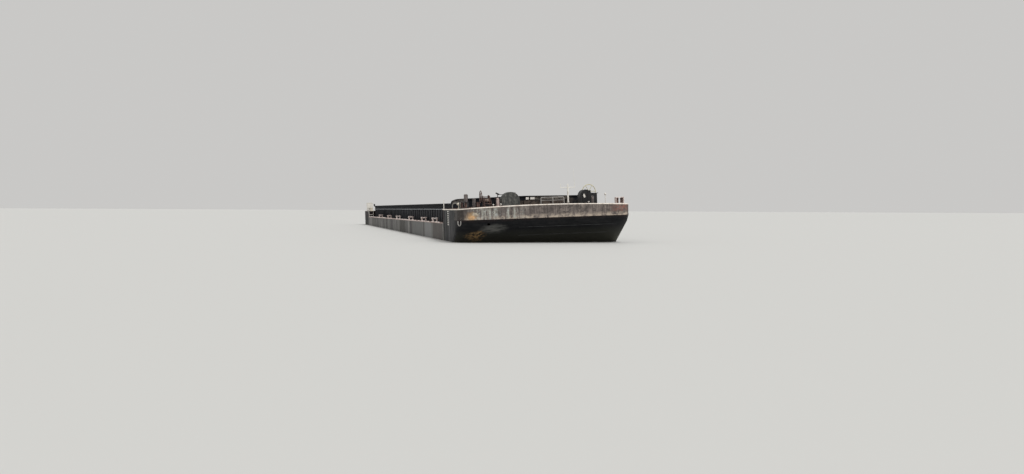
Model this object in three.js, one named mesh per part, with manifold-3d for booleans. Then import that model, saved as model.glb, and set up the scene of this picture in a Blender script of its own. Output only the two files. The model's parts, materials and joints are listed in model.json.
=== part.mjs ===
// Open river barge of the pushed kind, a scale model at half the real size.
// Every size below is the real barge's, in millimetres: +X bow, +Y port, +Z up.
// The origin is on the flat bottom, amidships, on the centreline.
import * as THREE from 'three';
import { mergeVertices } from 'three/addons/utils/BufferGeometryUtils.js';
import Module from 'manifold-3d';

const wasm = await Module();
wasm.setup();

// Driving dimensions
const MODEL_SCALE = 1 / 2;
const GAP = 0.6;
const LENGTH = 66000;
const BEAM = 11000;
const SIDE_HEIGHT = 2800;
const BOW_HEIGHT = 3700;
const BOW_CAMBER = 140;
const STERN_HEIGHT = 3450;
const BOW_BLOCK = 5880;
const STERN_BLOCK = 5000;
const COAMING_TOP = 4090;
const STRINGER_HEIGHT = 3680;
const SIDE_TANK_WIDTH = 850;
const FLOOR_HEIGHT = 500;
const BILGE_RADIUS = 300;
const CORNER_RADIUS = 690;
const DECK_PLATE = 20;
const COAMING_PLATE = 30;

// Places that follow from them
const HALF_LENGTH = LENGTH / 2;
const HALF_BEAM = BEAM / 2;
const BOW_STEP = HALF_LENGTH - BOW_BLOCK;
const STERN_STEP = STERN_BLOCK - HALF_LENGTH;
const HOLD_HALF_WIDTH = HALF_BEAM - SIDE_TANK_WIDTH;
const PORT = 1;
const STARBOARD = -1;

// Paints and metals, each with colour, roughness and metalness
const FINISHES = {
  hull_black: [0x1d1f21, 0.7, 0.2],
  shell_grey: [0x4a4743, 0.75, 0.2],
  bow_band: [0xb4a892, 0.8, 0.1],
  deck_rust: [0x5b4238, 0.85, 0.1],
  coaming_blue: [0x232834, 0.7, 0.2],
  hold_steel: [0x6b5a4a, 0.85, 0.2],
  white_paint: [0xe6e4dc, 0.55, 0],
  post_grey: [0x7d6f6b, 0.7, 0.2],
  winch_rust: [0x6d4534, 0.85, 0.2],
  black_paint: [0x17181a, 0.6, 0.2],
  hatch_green: [0x3a403a, 0.8, 0.1],
  galvanised: [0xa9a69c, 0.55, 0.6],
};

// Solids

function toSolid(geometry) {
  const plain = geometry.clone();
  plain.deleteAttribute('normal');
  plain.deleteAttribute('uv');
  const merged = mergeVertices(plain, 1e-3);
  return new wasm.Manifold(new wasm.Mesh({
    numProp: 3,
    vertProperties: new Float32Array(merged.attributes.position.array),
    triVerts: new Uint32Array(merged.index.array),
  }));
}

function toGeometry(solid) {
  const mesh = solid.getMesh();
  const geometry = new THREE.BufferGeometry();
  geometry.setAttribute('position', new THREE.BufferAttribute(mesh.vertProperties, 3));
  geometry.setIndex(new THREE.BufferAttribute(mesh.triVerts, 1));
  return geometry;
}

function join(...geometries) {
  return toGeometry(geometries.map(toSolid).reduce((whole, piece) => whole.add(piece)));
}

function cut(geometry, ...tools) {
  return toGeometry(tools.map(toSolid).reduce((rest, tool) => rest.subtract(tool), toSolid(geometry)));
}

function box(x0, x1, y0, y1, z0, z1) {
  const geometry = new THREE.BoxGeometry(x1 - x0, y1 - y0, z1 - z0);
  return geometry.translate((x0 + x1) / 2, (y0 + y1) / 2, (z0 + z1) / 2);
}

// A round bar between two points
function rod(radius, from, to, sides = 16) {
  const start = new THREE.Vector3(...from);
  const along = new THREE.Vector3(...to).sub(start);
  const geometry = new THREE.CylinderGeometry(radius, radius, along.length(), sides);
  const turn = new THREE.Quaternion().setFromUnitVectors(
    new THREE.Vector3(0, 1, 0), along.clone().normalize());
  return geometry.applyQuaternion(turn).translate(...start.addScaledVector(along, 0.5).toArray());
}

// A profile of [radius, place along the axis] turned about Y or Z
function turned(profile, axis = 'z', sides = 24) {
  const geometry = new THREE.LatheGeometry(profile.map(([r, h]) => new THREE.Vector2(r, h)), sides);
  if (axis === 'z') geometry.rotateX(Math.PI / 2);
  return geometry;
}

// A round rim of round section, its axis along Y
function ring(radius, thickness, sides = 24) {
  return new THREE.TorusGeometry(radius, thickness, 6, sides).rotateX(Math.PI / 2);
}

// An outline in Y and Z, made a plate between two places along X
function crossPlate(outline, x0, x1) {
  const shape = new THREE.Shape(outline.map(([y, z]) => new THREE.Vector2(y, z)));
  const geometry = new THREE.ExtrudeGeometry(shape, { depth: x1 - x0, bevelEnabled: false });
  return geometry.rotateX(Math.PI / 2).rotateZ(Math.PI / 2).translate(x0, 0, 0);
}

// An outline in X and Z, made a plate between two places along Y
function lengthPlate(outline, y0, y1) {
  const shape = new THREE.Shape(outline.map(([x, z]) => new THREE.Vector2(x, z)));
  const geometry = new THREE.ExtrudeGeometry(shape, { depth: y1 - y0, bevelEnabled: false });
  return geometry.rotateX(Math.PI / 2).translate(0, y1, 0);
}

// A round bar bent along points
function bentRod(radius, points, steps = 9) {
  const path = new THREE.CatmullRomCurve3(points.map((point) => new THREE.Vector3(...point)));
  const section = new THREE.Shape();
  section.absarc(0, 0, radius, 0, 2 * Math.PI);
  return new THREE.ExtrudeGeometry(section, {
    steps, curveSegments: 4, bevelEnabled: false, extrudePath: path,
  });
}

function copyAt(geometry, x, y, z) {
  return geometry.clone().translate(x, y, z);
}

function mirrored(geometry) {
  const points = toSolid(geometry);
  return toGeometry(points.mirror([0, 1, 0]));
}

// The barge and its nodes

const barge = new THREE.Group();

function addNode(name, finish, geometry, parent = barge) {
  const [color, roughness, metalness] = FINISHES[finish];
  const mesh = new THREE.Mesh(geometry, new THREE.MeshStandardMaterial({ color, roughness, metalness }));
  mesh.name = name;
  parent.add(mesh);
  return mesh;
}

function groupAt(x, y, z) {
  const group = new THREE.Group();
  group.position.set(x, y, z);
  barge.add(group);
  return group;
}

function sideName(side) {
  return side === PORT ? 'port' : 'starboard';
}

// End blocks: level outlines, each a straight inner edge and an outer edge with round corners

const CORNER_STEPS = 10;
const DECK_STATIONS = [-0.8, -0.6, -0.4, -0.2, 0, 0.2, 0.4, 0.6, 0.8];

function levelOutline({ end, halfBeam, corner }) {
  const straight = halfBeam - corner;
  const arc = Array.from({ length: CORNER_STEPS + 1 }, (_, i) => (i / CORNER_STEPS) * Math.PI / 2);
  const starboard = arc.map((a) => [-straight - corner * Math.cos(a), end - corner * (1 - Math.sin(a))]);
  const middle = DECK_STATIONS.map((share) => [share * straight, end]);
  const port = arc.map((a) => [straight + corner * Math.sin(a), end - corner * (1 - Math.cos(a))]);
  return [...starboard, ...middle, ...port];
}

// levels: height, end (how far the outer edge reaches), halfBeam, corner, and camber of the top one
function levelLoft(levels, inner) {
  const points = [];
  const faces = [];
  const rows = levels.map((level) => levelOutline(level));
  const across = rows[0].length;
  rows.forEach((row, i) => {
    const { height, halfBeam, camber = 0 } = levels[i];
    const rise = (y) => height + camber * (1 - (y / halfBeam) ** 2);
    row.forEach(([y, x]) => points.push(x, y, rise(y)));
    row.forEach(([y]) => points.push(inner, y, rise(y)));
  });
  const outerAt = (row, i) => row * 2 * across + i;
  const innerAt = (row, i) => outerAt(row, i) + across;
  const quad = (a, b, c, d) => faces.push(a, b, c, a, c, d);
  const top = levels.length - 1;
  for (let i = 0; i + 1 < across; i += 1) {
    quad(innerAt(top, i), outerAt(top, i), outerAt(top, i + 1), innerAt(top, i + 1));
    quad(innerAt(0, i + 1), outerAt(0, i + 1), outerAt(0, i), innerAt(0, i));
    for (let row = 0; row < top; row += 1) {
      quad(outerAt(row, i), outerAt(row, i + 1), outerAt(row + 1, i + 1), outerAt(row + 1, i));
      quad(innerAt(row, i + 1), innerAt(row, i), innerAt(row + 1, i), innerAt(row + 1, i + 1));
    }
  }
  for (let row = 0; row < top; row += 1) {
    quad(innerAt(row, 0), outerAt(row, 0), outerAt(row + 1, 0), innerAt(row + 1, 0));
    const last = across - 1;
    quad(outerAt(row, last), innerAt(row, last), innerAt(row + 1, last), outerAt(row + 1, last));
  }
  const geometry = new THREE.BufferGeometry();
  geometry.setAttribute('position', new THREE.Float32BufferAttribute(points, 3));
  geometry.setIndex(faces);
  return geometry;
}

function bilgeHalfBeam(height) {
  const drop = Math.max(0, BILGE_RADIUS - height);
  return HALF_BEAM - BILGE_RADIUS + Math.sqrt(BILGE_RADIUS ** 2 - drop ** 2);
}

// Setback of a rake that leaves the flat bottom in an arc and goes on straight
function rakeSetback(height, rake) {
  const rise = rake.arc * (1 - Math.cos(rake.angle));
  if (height < rise) return rake.foot - Math.sqrt(rake.arc ** 2 - (rake.arc - height) ** 2);
  return rake.foot - rake.arc * Math.sin(rake.angle) - (height - rise) / Math.tan(rake.angle);
}

const RAKE_SHARES = [0, 0.06, 0.2, 0.45, 0.75, 1];

function rakeLevels(rake, top, inner) {
  const rise = rake.arc * (1 - Math.cos(rake.angle));
  return [...RAKE_SHARES.map((share) => share * rise), top].map((height) => {
    const end = HALF_LENGTH - rakeSetback(height, rake);
    const corner = Math.min(rake.corner, 0.9 * (end - inner));
    return { height, end, halfBeam: bilgeHalfBeam(height), corner };
  });
}

// Bow: a raked plate up to the knuckle, a strake leaning out to the band, and the upright band
const KNUCKLE_HEIGHT = 2650;
const KNUCKLE_SETBACK = 330;
const BAND_FOOT = 3050;
const BAND_PLATE = 24;
const BOW_RAKE = { foot: 5300, arc: 2400, angle: THREE.MathUtils.degToRad(31.7), corner: CORNER_RADIUS };
const rakeShift = KNUCKLE_SETBACK - rakeSetback(KNUCKLE_HEIGHT, BOW_RAKE);
BOW_RAKE.foot += rakeShift;

const bowEnd = HALF_LENGTH - BAND_PLATE - GAP;
const bandHalfBeam = HALF_BEAM - BAND_PLATE - GAP;
const bowLevels = [
  ...rakeLevels(BOW_RAKE, KNUCKLE_HEIGHT, BOW_STEP),
  { height: BAND_FOOT, end: HALF_LENGTH, halfBeam: HALF_BEAM, corner: CORNER_RADIUS },
];
const bandLevels = [
  { height: BAND_FOOT, end: HALF_LENGTH, halfBeam: HALF_BEAM, corner: CORNER_RADIUS },
  {
    height: BOW_HEIGHT, end: HALF_LENGTH, halfBeam: HALF_BEAM, corner: CORNER_RADIUS, camber: BOW_CAMBER,
  },
];
const coreLevels = bandLevels.map((level) => ({
  ...level, end: bowEnd, halfBeam: bandHalfBeam, corner: CORNER_RADIUS - BAND_PLATE,
}));
const HAWSE = { y: -3620, height: 2740, radius: 100, depth: 780 };
const BAND_LENGTH = 1500;

function bowDeckHeight(y) {
  return BOW_HEIGHT + BOW_CAMBER * (1 - (y / HALF_BEAM) ** 2);
}

const bowBlock = levelLoft([...bowLevels, bandLevels[1]], BOW_STEP);
const bandStart = HALF_LENGTH - BAND_LENGTH;
const bandSpace = box(bandStart, HALF_LENGTH + 100, -HALF_BEAM - 100, HALF_BEAM + 100,
  BAND_FOOT, BOW_HEIGHT + 400);
const bandCore = levelLoft([
  { ...coreLevels[0], height: BAND_FOOT - 200 }, { ...coreLevels[1], height: BOW_HEIGHT + 400, camber: 0 },
], bandStart - 200);
const hawseHole = rod(HAWSE.radius, [HALF_LENGTH - HAWSE.depth, HAWSE.y, HAWSE.height],
  [HALF_LENGTH + 100, HAWSE.y, HAWSE.height]);
const bowHull = cut(bowBlock, cut(bandSpace, bandCore), hawseHole);
addNode('bow_hull', 'hull_black', bowHull);

// The worn upright band round the bow, a doubling plate
const bandOutside = levelLoft([{ ...bandLevels[0], height: BAND_FOOT + GAP }, bandLevels[1]],
  bandStart + GAP);
const bandInside = levelLoft([
  { ...bandLevels[0], height: BAND_FOOT - 200 }, { ...bandLevels[0], height: BOW_HEIGHT + 400 },
].map((level) => ({
  ...level,
  end: HALF_LENGTH - BAND_PLATE,
  halfBeam: HALF_BEAM - BAND_PLATE,
  corner: CORNER_RADIUS - BAND_PLATE + GAP,
})), bandStart - 200);
addNode('bow_band', 'bow_band', cut(bandOutside, bandInside));

// Stern: an upright transom over a raked underside
const TRANSOM_FOOT = 1200;
const STERN_RAKE = { foot: 4600, arc: 3000, angle: THREE.MathUtils.degToRad(20), corner: 420 };
STERN_RAKE.foot -= rakeSetback(TRANSOM_FOOT, STERN_RAKE);

const sternBlock = levelLoft([
  ...rakeLevels(STERN_RAKE, TRANSOM_FOOT, -STERN_STEP),
  { height: STERN_HEIGHT, end: HALF_LENGTH, halfBeam: HALF_BEAM, corner: STERN_RAKE.corner },
], -STERN_STEP).rotateZ(Math.PI);
addNode('stern_hull', 'hull_black', sternBlock);

const SKEG = { y: 3200, thickness: 60, front: -29500, aft: -32700 };
const underStern = copyAt(sternBlock, 0, 0, -GAP);
for (const side of [STARBOARD, PORT]) {
  const y = side * SKEG.y;
  const blade = box(SKEG.aft, SKEG.front, y - SKEG.thickness / 2, y + SKEG.thickness / 2, 0, TRANSOM_FOOT);
  addNode(`stern_skeg_${sideName(side)}`, 'hull_black', cut(blade, underStern));
}

// Midship body: double bottom, side tanks and side decks
const tankFront = BOW_STEP - GAP;
const tankAft = STERN_STEP + GAP;
addNode('double_bottom', 'hold_steel', box(tankAft, tankFront,
  -HOLD_HALF_WIDTH + GAP, HOLD_HALF_WIDTH - GAP, 0, FLOOR_HEIGHT));

const BILGE_STEPS = 5;
const bilge = Array.from({ length: BILGE_STEPS + 1 }, (_, i) => {
  const angle = (i / BILGE_STEPS) * (Math.PI / 2);
  return [HALF_BEAM - BILGE_RADIUS * (1 - Math.sin(angle)), BILGE_RADIUS * (1 - Math.cos(angle))];
});
const tankTop = SIDE_HEIGHT - DECK_PLATE - GAP;
const tankSection = [[HOLD_HALF_WIDTH, 0], ...bilge, [HALF_BEAM, tankTop], [HOLD_HALF_WIDTH, tankTop]];
const sideTank = crossPlate(tankSection, tankAft, tankFront);

const sideDeck = box(tankAft, tankFront, HOLD_HALF_WIDTH, HALF_BEAM, SIDE_HEIGHT - DECK_PLATE, SIDE_HEIGHT);

// Cross bitts along the side deck: a foot plate, two posts and a bar
const BITT = {
  places: [20900, 15350, 7630, -1350, -8850, -17520], centre: 5080, spread: 150, post: 60, height: 300,
  bar: { radius: 40, z: 240, reach: 240 }, foot: { x: 100, y: 250, thickness: 16 },
};

function crossBitt() {
  const posts = [-BITT.spread, BITT.spread].map((y) => rod(
    BITT.post, [0, y, BITT.foot.thickness / 2], [0, y, BITT.height], 10));
  const bar = rod(BITT.bar.radius, [0, -BITT.bar.reach, BITT.bar.z], [0, BITT.bar.reach, BITT.bar.z], 8);
  const foot = box(-BITT.foot.x, BITT.foot.x, -BITT.foot.y, BITT.foot.y, GAP, BITT.foot.thickness);
  return join(foot, ...posts, bar);
}

// Side coamings: plate, top rail, pale stringer and stays
const TOP_RAIL = { width: 130, height: 90 };
const STRINGER = { width: 100, thickness: 24 };
const STAY = { spacing: 1200, thickness: 16, foot: 140, head: 80 };
const coamingFoot = SIDE_HEIGHT + GAP;
const coamingOut = HOLD_HALF_WIDTH + COAMING_PLATE;

const stayFoot = coamingFoot + 3;
const stayOutline = [
  [coamingOut - 5, stayFoot], [coamingOut + STAY.foot, stayFoot],
  [coamingOut + STAY.foot, stayFoot + 60], [coamingOut + STAY.head, STRINGER_HEIGHT + 5],
  [coamingOut - 5, STRINGER_HEIGHT + 5],
];
const stayCount = Math.floor((tankFront - tankAft) / STAY.spacing);
const stayStart = (tankFront + tankAft) / 2 - ((stayCount - 1) / 2) * STAY.spacing;
const stays = Array.from({ length: stayCount }, (_, i) => crossPlate(stayOutline,
  stayStart + i * STAY.spacing, stayStart + i * STAY.spacing + STAY.thickness));
const sideCoaming = join(
  box(tankAft, tankFront, HOLD_HALF_WIDTH, coamingOut, coamingFoot, COAMING_TOP),
  box(tankAft, tankFront, HOLD_HALF_WIDTH, HOLD_HALF_WIDTH + TOP_RAIL.width,
    COAMING_TOP - TOP_RAIL.height, COAMING_TOP),
  box(tankAft, tankFront, coamingOut - 5, coamingOut + STRINGER.width,
    STRINGER_HEIGHT, STRINGER_HEIGHT + STRINGER.thickness),
  ...stays,
);

for (const side of [STARBOARD, PORT]) {
  const onSide = side === PORT ? (geometry) => geometry.clone() : mirrored;
  addNode(`side_tank_${sideName(side)}`, 'shell_grey', onSide(sideTank));
  addNode(`side_deck_${sideName(side)}`, 'deck_rust', onSide(sideDeck));
  addNode(`coaming_${sideName(side)}`, 'coaming_blue', onSide(sideCoaming));
  BITT.places.forEach((x, i) => addNode(`cross_bitt_${sideName(side)}_${i + 1}`, 'post_grey', crossBitt(),
    groupAt(x, side * BITT.centre, SIDE_HEIGHT)));
}

// Solids that stand on the cambered bow deck are cut to it
const bowDeckCutter = copyAt(bowBlock, 0, 0, GAP);
const BASE_SINK = 60;

function seated(geometry, x, y) {
  return cut(geometry, copyAt(bowDeckCutter, -x, -y, -bowDeckHeight(y)));
}

function bowGroup(x, y) {
  return groupAt(x, y, bowDeckHeight(y));
}

// Forward coaming: a tall cambered plate with curved shoulders, wider than the hold
const FORE_COAMING = {
  half: 4950, side: 4370, middle: 4440, end: 4140, shoulder: 600, plate: 40, rail: 60, stays: 9,
};
const SHOULDER_STEPS = 6;

function foreCoamingOutline(lift) {
  const straight = FORE_COAMING.half - FORE_COAMING.shoulder;
  const drop = FORE_COAMING.side - FORE_COAMING.end;
  const shoulder = Array.from({ length: SHOULDER_STEPS + 1 }, (_, i) => {
    const angle = (i / SHOULDER_STEPS) * (Math.PI / 2);
    return [straight + FORE_COAMING.shoulder * Math.sin(angle),
      FORE_COAMING.side - drop * (1 - Math.cos(angle)) + lift];
  });
  const port = [[0, FORE_COAMING.middle + lift], ...shoulder];
  const starboard = shoulder.map(([y, z]) => [-y, z]).reverse();
  const foot = FORE_COAMING.side - 900;
  return [...starboard, ...port, [port.at(-1)[0], foot], [starboard[0][0], foot]];
}

const foreAft = BOW_STEP + 20;
const forePlate = crossPlate(foreCoamingOutline(0), foreAft, foreAft + FORE_COAMING.plate);
const foreRail = cut(
  crossPlate(foreCoamingOutline(0), foreAft, foreAft + FORE_COAMING.plate + FORE_COAMING.rail),
  crossPlate(foreCoamingOutline(-70), foreAft - 10, foreAft + 400),
);
const foreStays = Array.from({ length: FORE_COAMING.stays }, (_, i) => {
  const y = (i - (FORE_COAMING.stays - 1) / 2) * 1000;
  const x = foreAft + FORE_COAMING.plate - 5;
  return lengthPlate([[x, 3600], [x + 220, 3600], [x + 60, 4250], [x, 4250]], y - 8, y + 8);
});
const MARK_PLATES = [
  // y of one edge, y of the other, foot, head
  [130, 355, 4180, 4338],
  [440, 745, 4170, 4338],
];
const markPlates = MARK_PLATES.map(([y0, y1, z0, z1]) => box(
  foreAft + FORE_COAMING.plate - 5, foreAft + FORE_COAMING.plate + 40, y0, y1, z0, z1));
addNode('coaming_forward', 'coaming_blue', seated(
  join(forePlate, foreRail, ...foreStays, ...markPlates).translate(0, 0, -bowDeckHeight(0)), 0, 0)
  .translate(0, 0, bowDeckHeight(0)));

// Aft coaming, lower, on the stern deck
const aftFace = STERN_STEP - 20;
addNode('coaming_aft', 'coaming_blue', join(
  box(aftFace - 40, aftFace, -coamingOut, coamingOut, STERN_HEIGHT + GAP, COAMING_TOP),
  box(aftFace - TOP_RAIL.width, aftFace, -coamingOut, coamingOut, COAMING_TOP - TOP_RAIL.height, COAMING_TOP),
  ...[-4, -3, -2, -1, 0, 1, 2, 3, 4].map((i) => lengthPlate([
    [aftFace - 35, STERN_HEIGHT + 4], [aftFace - 35, COAMING_TOP - 200],
    [aftFace - 100, COAMING_TOP - 200], [aftFace - 240, STERN_HEIGHT + 4]], i * 1100 - 8, i * 1100 + 8)),
));

// Ladder on the forward end of the hold
const LADDER = {
  y: 3000, width: 420, x: BOW_STEP - 130, foot: FLOOR_HEIGHT + 80, top: BOW_HEIGHT - 100,
  side: 22, rung: 14, lug: 16, rungs: 10, firstRung: FLOOR_HEIGHT + 250, step: 300,
};
const ladderY = [-1, 1].map((side) => LADDER.y + side * LADDER.width / 2);
const ladderSides = ladderY.map((y) => rod(LADDER.side,
  [LADDER.x, y, LADDER.foot], [LADDER.x, y, LADDER.top], 6));
const ladderRungs = Array.from({ length: LADDER.rungs }, (_, i) => {
  const z = LADDER.firstRung + i * LADDER.step;
  return rod(LADDER.rung, [LADDER.x, ladderY[0], z], [LADDER.x, ladderY[1], z], 6);
});
const ladderLugs = [LADDER.foot + 320, LADDER.top - 150].flatMap((z) => ladderY.map((y) => rod(
  LADDER.lug, [LADDER.x, y, z], [BOW_STEP - GAP, y, z], 6)));
addNode('hold_ladder', 'galvanised', join(...ladderSides, ...ladderRungs, ...ladderLugs));

// Posts and bollards on the bow deck
function post(radius, height, dome = 0.5) {
  return turned([[0, -BASE_SINK], [radius, -BASE_SINK], [radius, height - radius * dome],
    [radius * 0.75, height - radius * dome * 0.3], [0, height]], 'z', 20);
}

const FITTING_X = HALF_LENGTH - 2500;

function bowPost(name, finish, x, y, radius, height) {
  addNode(name, finish, seated(post(radius, height), x, y), bowGroup(x, y));
}

const POSTS = [
  // name, finish, x from the stem, y, radius, height
  ['bow_post_starboard_tall', 'post_grey', 2500, -4560, 125, 890],
  ['bow_post_starboard_short', 'post_grey', 2500, -4045, 112, 592],
  ['bow_post_starboard_inner', 'post_grey', 2500, -2517, 102, 526],
  ['bow_post_port', 'post_grey', 1200, 3345, 85, 500],
];
POSTS.forEach(([name, finish, setback, y, radius, height]) => bowPost(
  name, finish, HALF_LENGTH - setback, y, radius, height));

// Mushroom ventilator and bent air pipe beside it
const VENTILATOR = {
  y: -4975,
  profile: [[0, -BASE_SINK], [150, -BASE_SINK], [150, 40], [95, 60], [95, 260], [170, 280], [175, 320],
    [120, 375], [0, 400]],
};
addNode('bow_ventilator', 'white_paint', seated(turned(VENTILATOR.profile, 'z', 20), FITTING_X, VENTILATOR.y),
  bowGroup(FITTING_X, VENTILATOR.y));
const AIR_PIPE = {
  x: HALF_LENGTH - 2900,
  y: -5365,
  radius: 32,
  bend: [[0, 0, -BASE_SINK], [0, 0, 240], [0, 40, 335], [0, 170, 370], [0, 300, 335], [0, 340, 240]],
};
addNode('bow_air_pipe', 'galvanised', seated(bentRod(AIR_PIPE.radius, AIR_PIPE.bend), AIR_PIPE.x, AIR_PIPE.y),
  bowGroup(AIR_PIPE.x, AIR_PIPE.y));

// Marker posts at the corners of the bow deck
const MARKERS = [
  // side, x, y, profile: a plain post, and one with a ball on top
  [STARBOARD, HALF_LENGTH - 5770, -5440, [[0, -BASE_SINK], [26, -BASE_SINK], [26, 605], [0, 615]]],
  [PORT, HALF_LENGTH - 3700, 5040,
    [[0, -BASE_SINK], [26, -BASE_SINK], [26, 600], [58, 630], [70, 670], [58, 710], [0, 740]]],
];
MARKERS.forEach(([side, x, y, profile]) => addNode(
  `marker_post_${sideName(side)}`, 'white_paint', seated(turned(profile, 'z', 14), x, y), bowGroup(x, y)));

// Low pipe rail near the stem
const RAIL = { y: [-230, 530, 1250], height: 430, radius: 24, middle: 245, middleRadius: 14, setback: 450 };
const railX = HALF_LENGTH - RAIL.setback;
addNode('bow_rail', 'galvanised', seated(join(
  rod(RAIL.radius, [0, RAIL.y[0] - 20, RAIL.height], [0, RAIL.y.at(-1) + 20, RAIL.height], 10),
  ...RAIL.y.map((y) => rod(RAIL.radius, [0, y, -BASE_SINK], [0, y, RAIL.height], 10)),
  rod(RAIL.middleRadius, [0, RAIL.y[0], RAIL.middle], [0, RAIL.y.at(-1), RAIL.middle], 8),
), railX, 0), bowGroup(railX, 0));

// How much wider a bore is than its pin, on the radius
const BORE_PLAY = 1.4;

// Folding mast: a foot with two cheeks, and the mast that hinges on it
const MAST = {
  x: HALF_LENGTH - 560, y: 1545, hinge: 110, top: 1240, radius: 50,
  pin: 14, pinReach: 92, cheek: 68, plate: 130,
  yard: { z: 1020, radius: 24, ends: [-480, 470] },
  upright: { y: -465, radius: 20, top: 1240 },
  whip: { radius: 13, foot: 455, tip: 400, top: 2200 },
};
const mastGroup = bowGroup(MAST.x, MAST.y);
const mastCheeks = [-1, 1].map((side) => lengthPlate([
  [-60, -BASE_SINK], [60, -BASE_SINK], [45, MAST.hinge + 40], [-45, MAST.hinge + 40],
], side * MAST.cheek - 8, side * MAST.cheek + 8));
const pinBore = rod(MAST.pin + BORE_PLAY, [0, -100, MAST.hinge], [0, 100, MAST.hinge], 16);
addNode('mast_foot', 'galvanised', seated(cut(join(
  box(-110, 110, -MAST.plate, MAST.plate, -BASE_SINK, 14), ...mastCheeks,
), pinBore), MAST.x, MAST.y), mastGroup);
addNode('mast', 'white_paint', join(
  turned([[0, MAST.hinge - 50], [MAST.radius * 0.8, MAST.hinge - 50], [MAST.radius, MAST.hinge],
    [MAST.radius, MAST.top - 40], [0, MAST.top]], 'z', 12),
  rod(MAST.pin, [0, -MAST.pinReach, MAST.hinge], [0, MAST.pinReach, MAST.hinge], 16),
  rod(MAST.yard.radius, [0, MAST.yard.ends[0], MAST.yard.z], [0, MAST.yard.ends[1], MAST.yard.z], 10),
  rod(MAST.upright.radius, [0, MAST.upright.y, MAST.yard.z - 5], [0, MAST.upright.y, MAST.upright.top], 8),
  rod(MAST.whip.radius, [0, MAST.whip.foot, MAST.yard.z - 5], [0, MAST.whip.tip, MAST.whip.top], 8),
), mastGroup);

// Winches: a bed with two cheeks, a flanged drum, and a handwheel on its own shaft

function winchBed({ half, cheek, length, axle, wheelAxle, bed }) {
  const cheekOutline = [
    [-length, -BASE_SINK], [length, -BASE_SINK], [length, 90], [length * 0.5, axle.z + 160],
    [-length * 0.3, axle.z + 160], [-length * 0.45, wheelAxle.z + 70], [-length * 0.95, wheelAxle.z + 70],
    [-length, 200],
  ];
  const cheeks = [-half, half].map((y) => lengthPlate(cheekOutline, y - cheek / 2, y + cheek / 2));
  const bores = [axle, wheelAxle].map(({ x, z, radius }) => rod(radius + BORE_PLAY,
    [x, -half - 100, z], [x, half + 100, z], 24));
  const tie = rod(22, [length * 0.78, -half, 190], [length * 0.78, half, 190], 10);
  return cut(join(...cheeks, box(-length, length, bed[0], bed[1], -BASE_SINK, 30), tie), ...bores);
}

function winchDrum({ half, cheek, axle, flange, barrel, gear, reach }) {
  const inside = half - cheek / 2 - 14;
  return turned([
    [0, reach[0]], [axle.radius, reach[0]], [axle.radius, -inside], [flange, -inside],
    [flange, -inside + 26], [barrel, -inside + 26], [barrel, inside - gear], [flange, inside - gear],
    [flange, inside], [axle.radius, inside], [axle.radius, reach[1]], [0, reach[1]],
  ], 'y', 24).translate(axle.x, 0, axle.z);
}

// A spoked wheel in the X-Z plane, its axis along Y
function handwheel(radius, rim, hub) {
  const spokes = [0, 1, 2].map((i) => {
    const angle = (i * Math.PI) / 3;
    const tip = [Math.cos(angle) * radius, 0, Math.sin(angle) * radius];
    return rod(rim * 0.7, tip.map((value) => -value), tip, 8);
  });
  return join(ring(radius, rim), ...spokes, rod(hub, [0, -30, 0], [0, 30, 0], 16));
}

// Starboard winch: drum between the cheeks, handwheel outboard with a pinion on the drum's gear
const WINCH_S = {
  y: -3210, half: 210, cheek: 24, length: 330, flange: 205, barrel: 100, gear: 80, bed: [-700, 222],
  axle: { x: 0, z: 400, radius: 34 }, wheelAxle: { x: -225, z: 640, radius: 22 },
  reach: [-270, 260], wheel: { radius: 380, rim: 24, hub: 48, y: -350 }, pinion: 95,
};
const winchS = bowGroup(FITTING_X, WINCH_S.y);
addNode('winch_bed_starboard', 'winch_rust', seated(join(winchBed(WINCH_S),
  box(-250, 250, -700, -530, -BASE_SINK, 300)), FITTING_X, WINCH_S.y), winchS);
addNode('winch_drum_starboard', 'winch_rust', winchDrum(WINCH_S), winchS);

const gearInside = WINCH_S.half - WINCH_S.cheek / 2 - 14;
addNode('winch_wheel_starboard', 'winch_rust', join(
  handwheel(WINCH_S.wheel.radius, WINCH_S.wheel.rim, WINCH_S.wheel.hub).translate(0, WINCH_S.wheel.y, 0),
  rod(WINCH_S.wheelAxle.radius, [0, WINCH_S.wheel.y, 0], [0, WINCH_S.half + 50, 0], 24),
  rod(WINCH_S.pinion, [0, gearInside - WINCH_S.gear, 0], [0, gearInside, 0], 20),
).translate(WINCH_S.wheelAxle.x, 0, WINCH_S.wheelAxle.z), winchS);

// Port winch: wider, under a hood, its handwheel behind the hood on a shaft along X
const WINCH_P = {
  y: 3385, half: 440, cheek: 24, length: 260, flange: 215, barrel: 110, gear: 90, bed: [-452, 452],
  axle: { x: 0, z: 420, radius: 36 }, reach: [-480, 640],
  wheel: { radius: 442, rim: 15, hub: 44, x: -520, y: 309, z: 800, axle: 22 },
};
const winchP = bowGroup(FITTING_X, WINCH_P.y);
const cheekP = [[-WINCH_P.length, -BASE_SINK], [WINCH_P.length, -BASE_SINK], [WINCH_P.length, 90],
  [80, 520], [-80, 520], [-WINCH_P.length, 90]];
const boreP = rod(WINCH_P.axle.radius + BORE_PLAY, [0, -700, WINCH_P.axle.z], [0, 700, WINCH_P.axle.z], 24);
addNode('winch_bed_port', 'black_paint', seated(cut(join(
  ...[-WINCH_P.half, WINCH_P.half].map((y) => lengthPlate(cheekP, y - 12, y + 12)),
  box(-WINCH_P.length, WINCH_P.length, ...WINCH_P.bed, -BASE_SINK, 30),
), boreP), FITTING_X, WINCH_P.y), winchP);
addNode('winch_drum_port', 'black_paint', winchDrum(WINCH_P), winchP);

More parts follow.
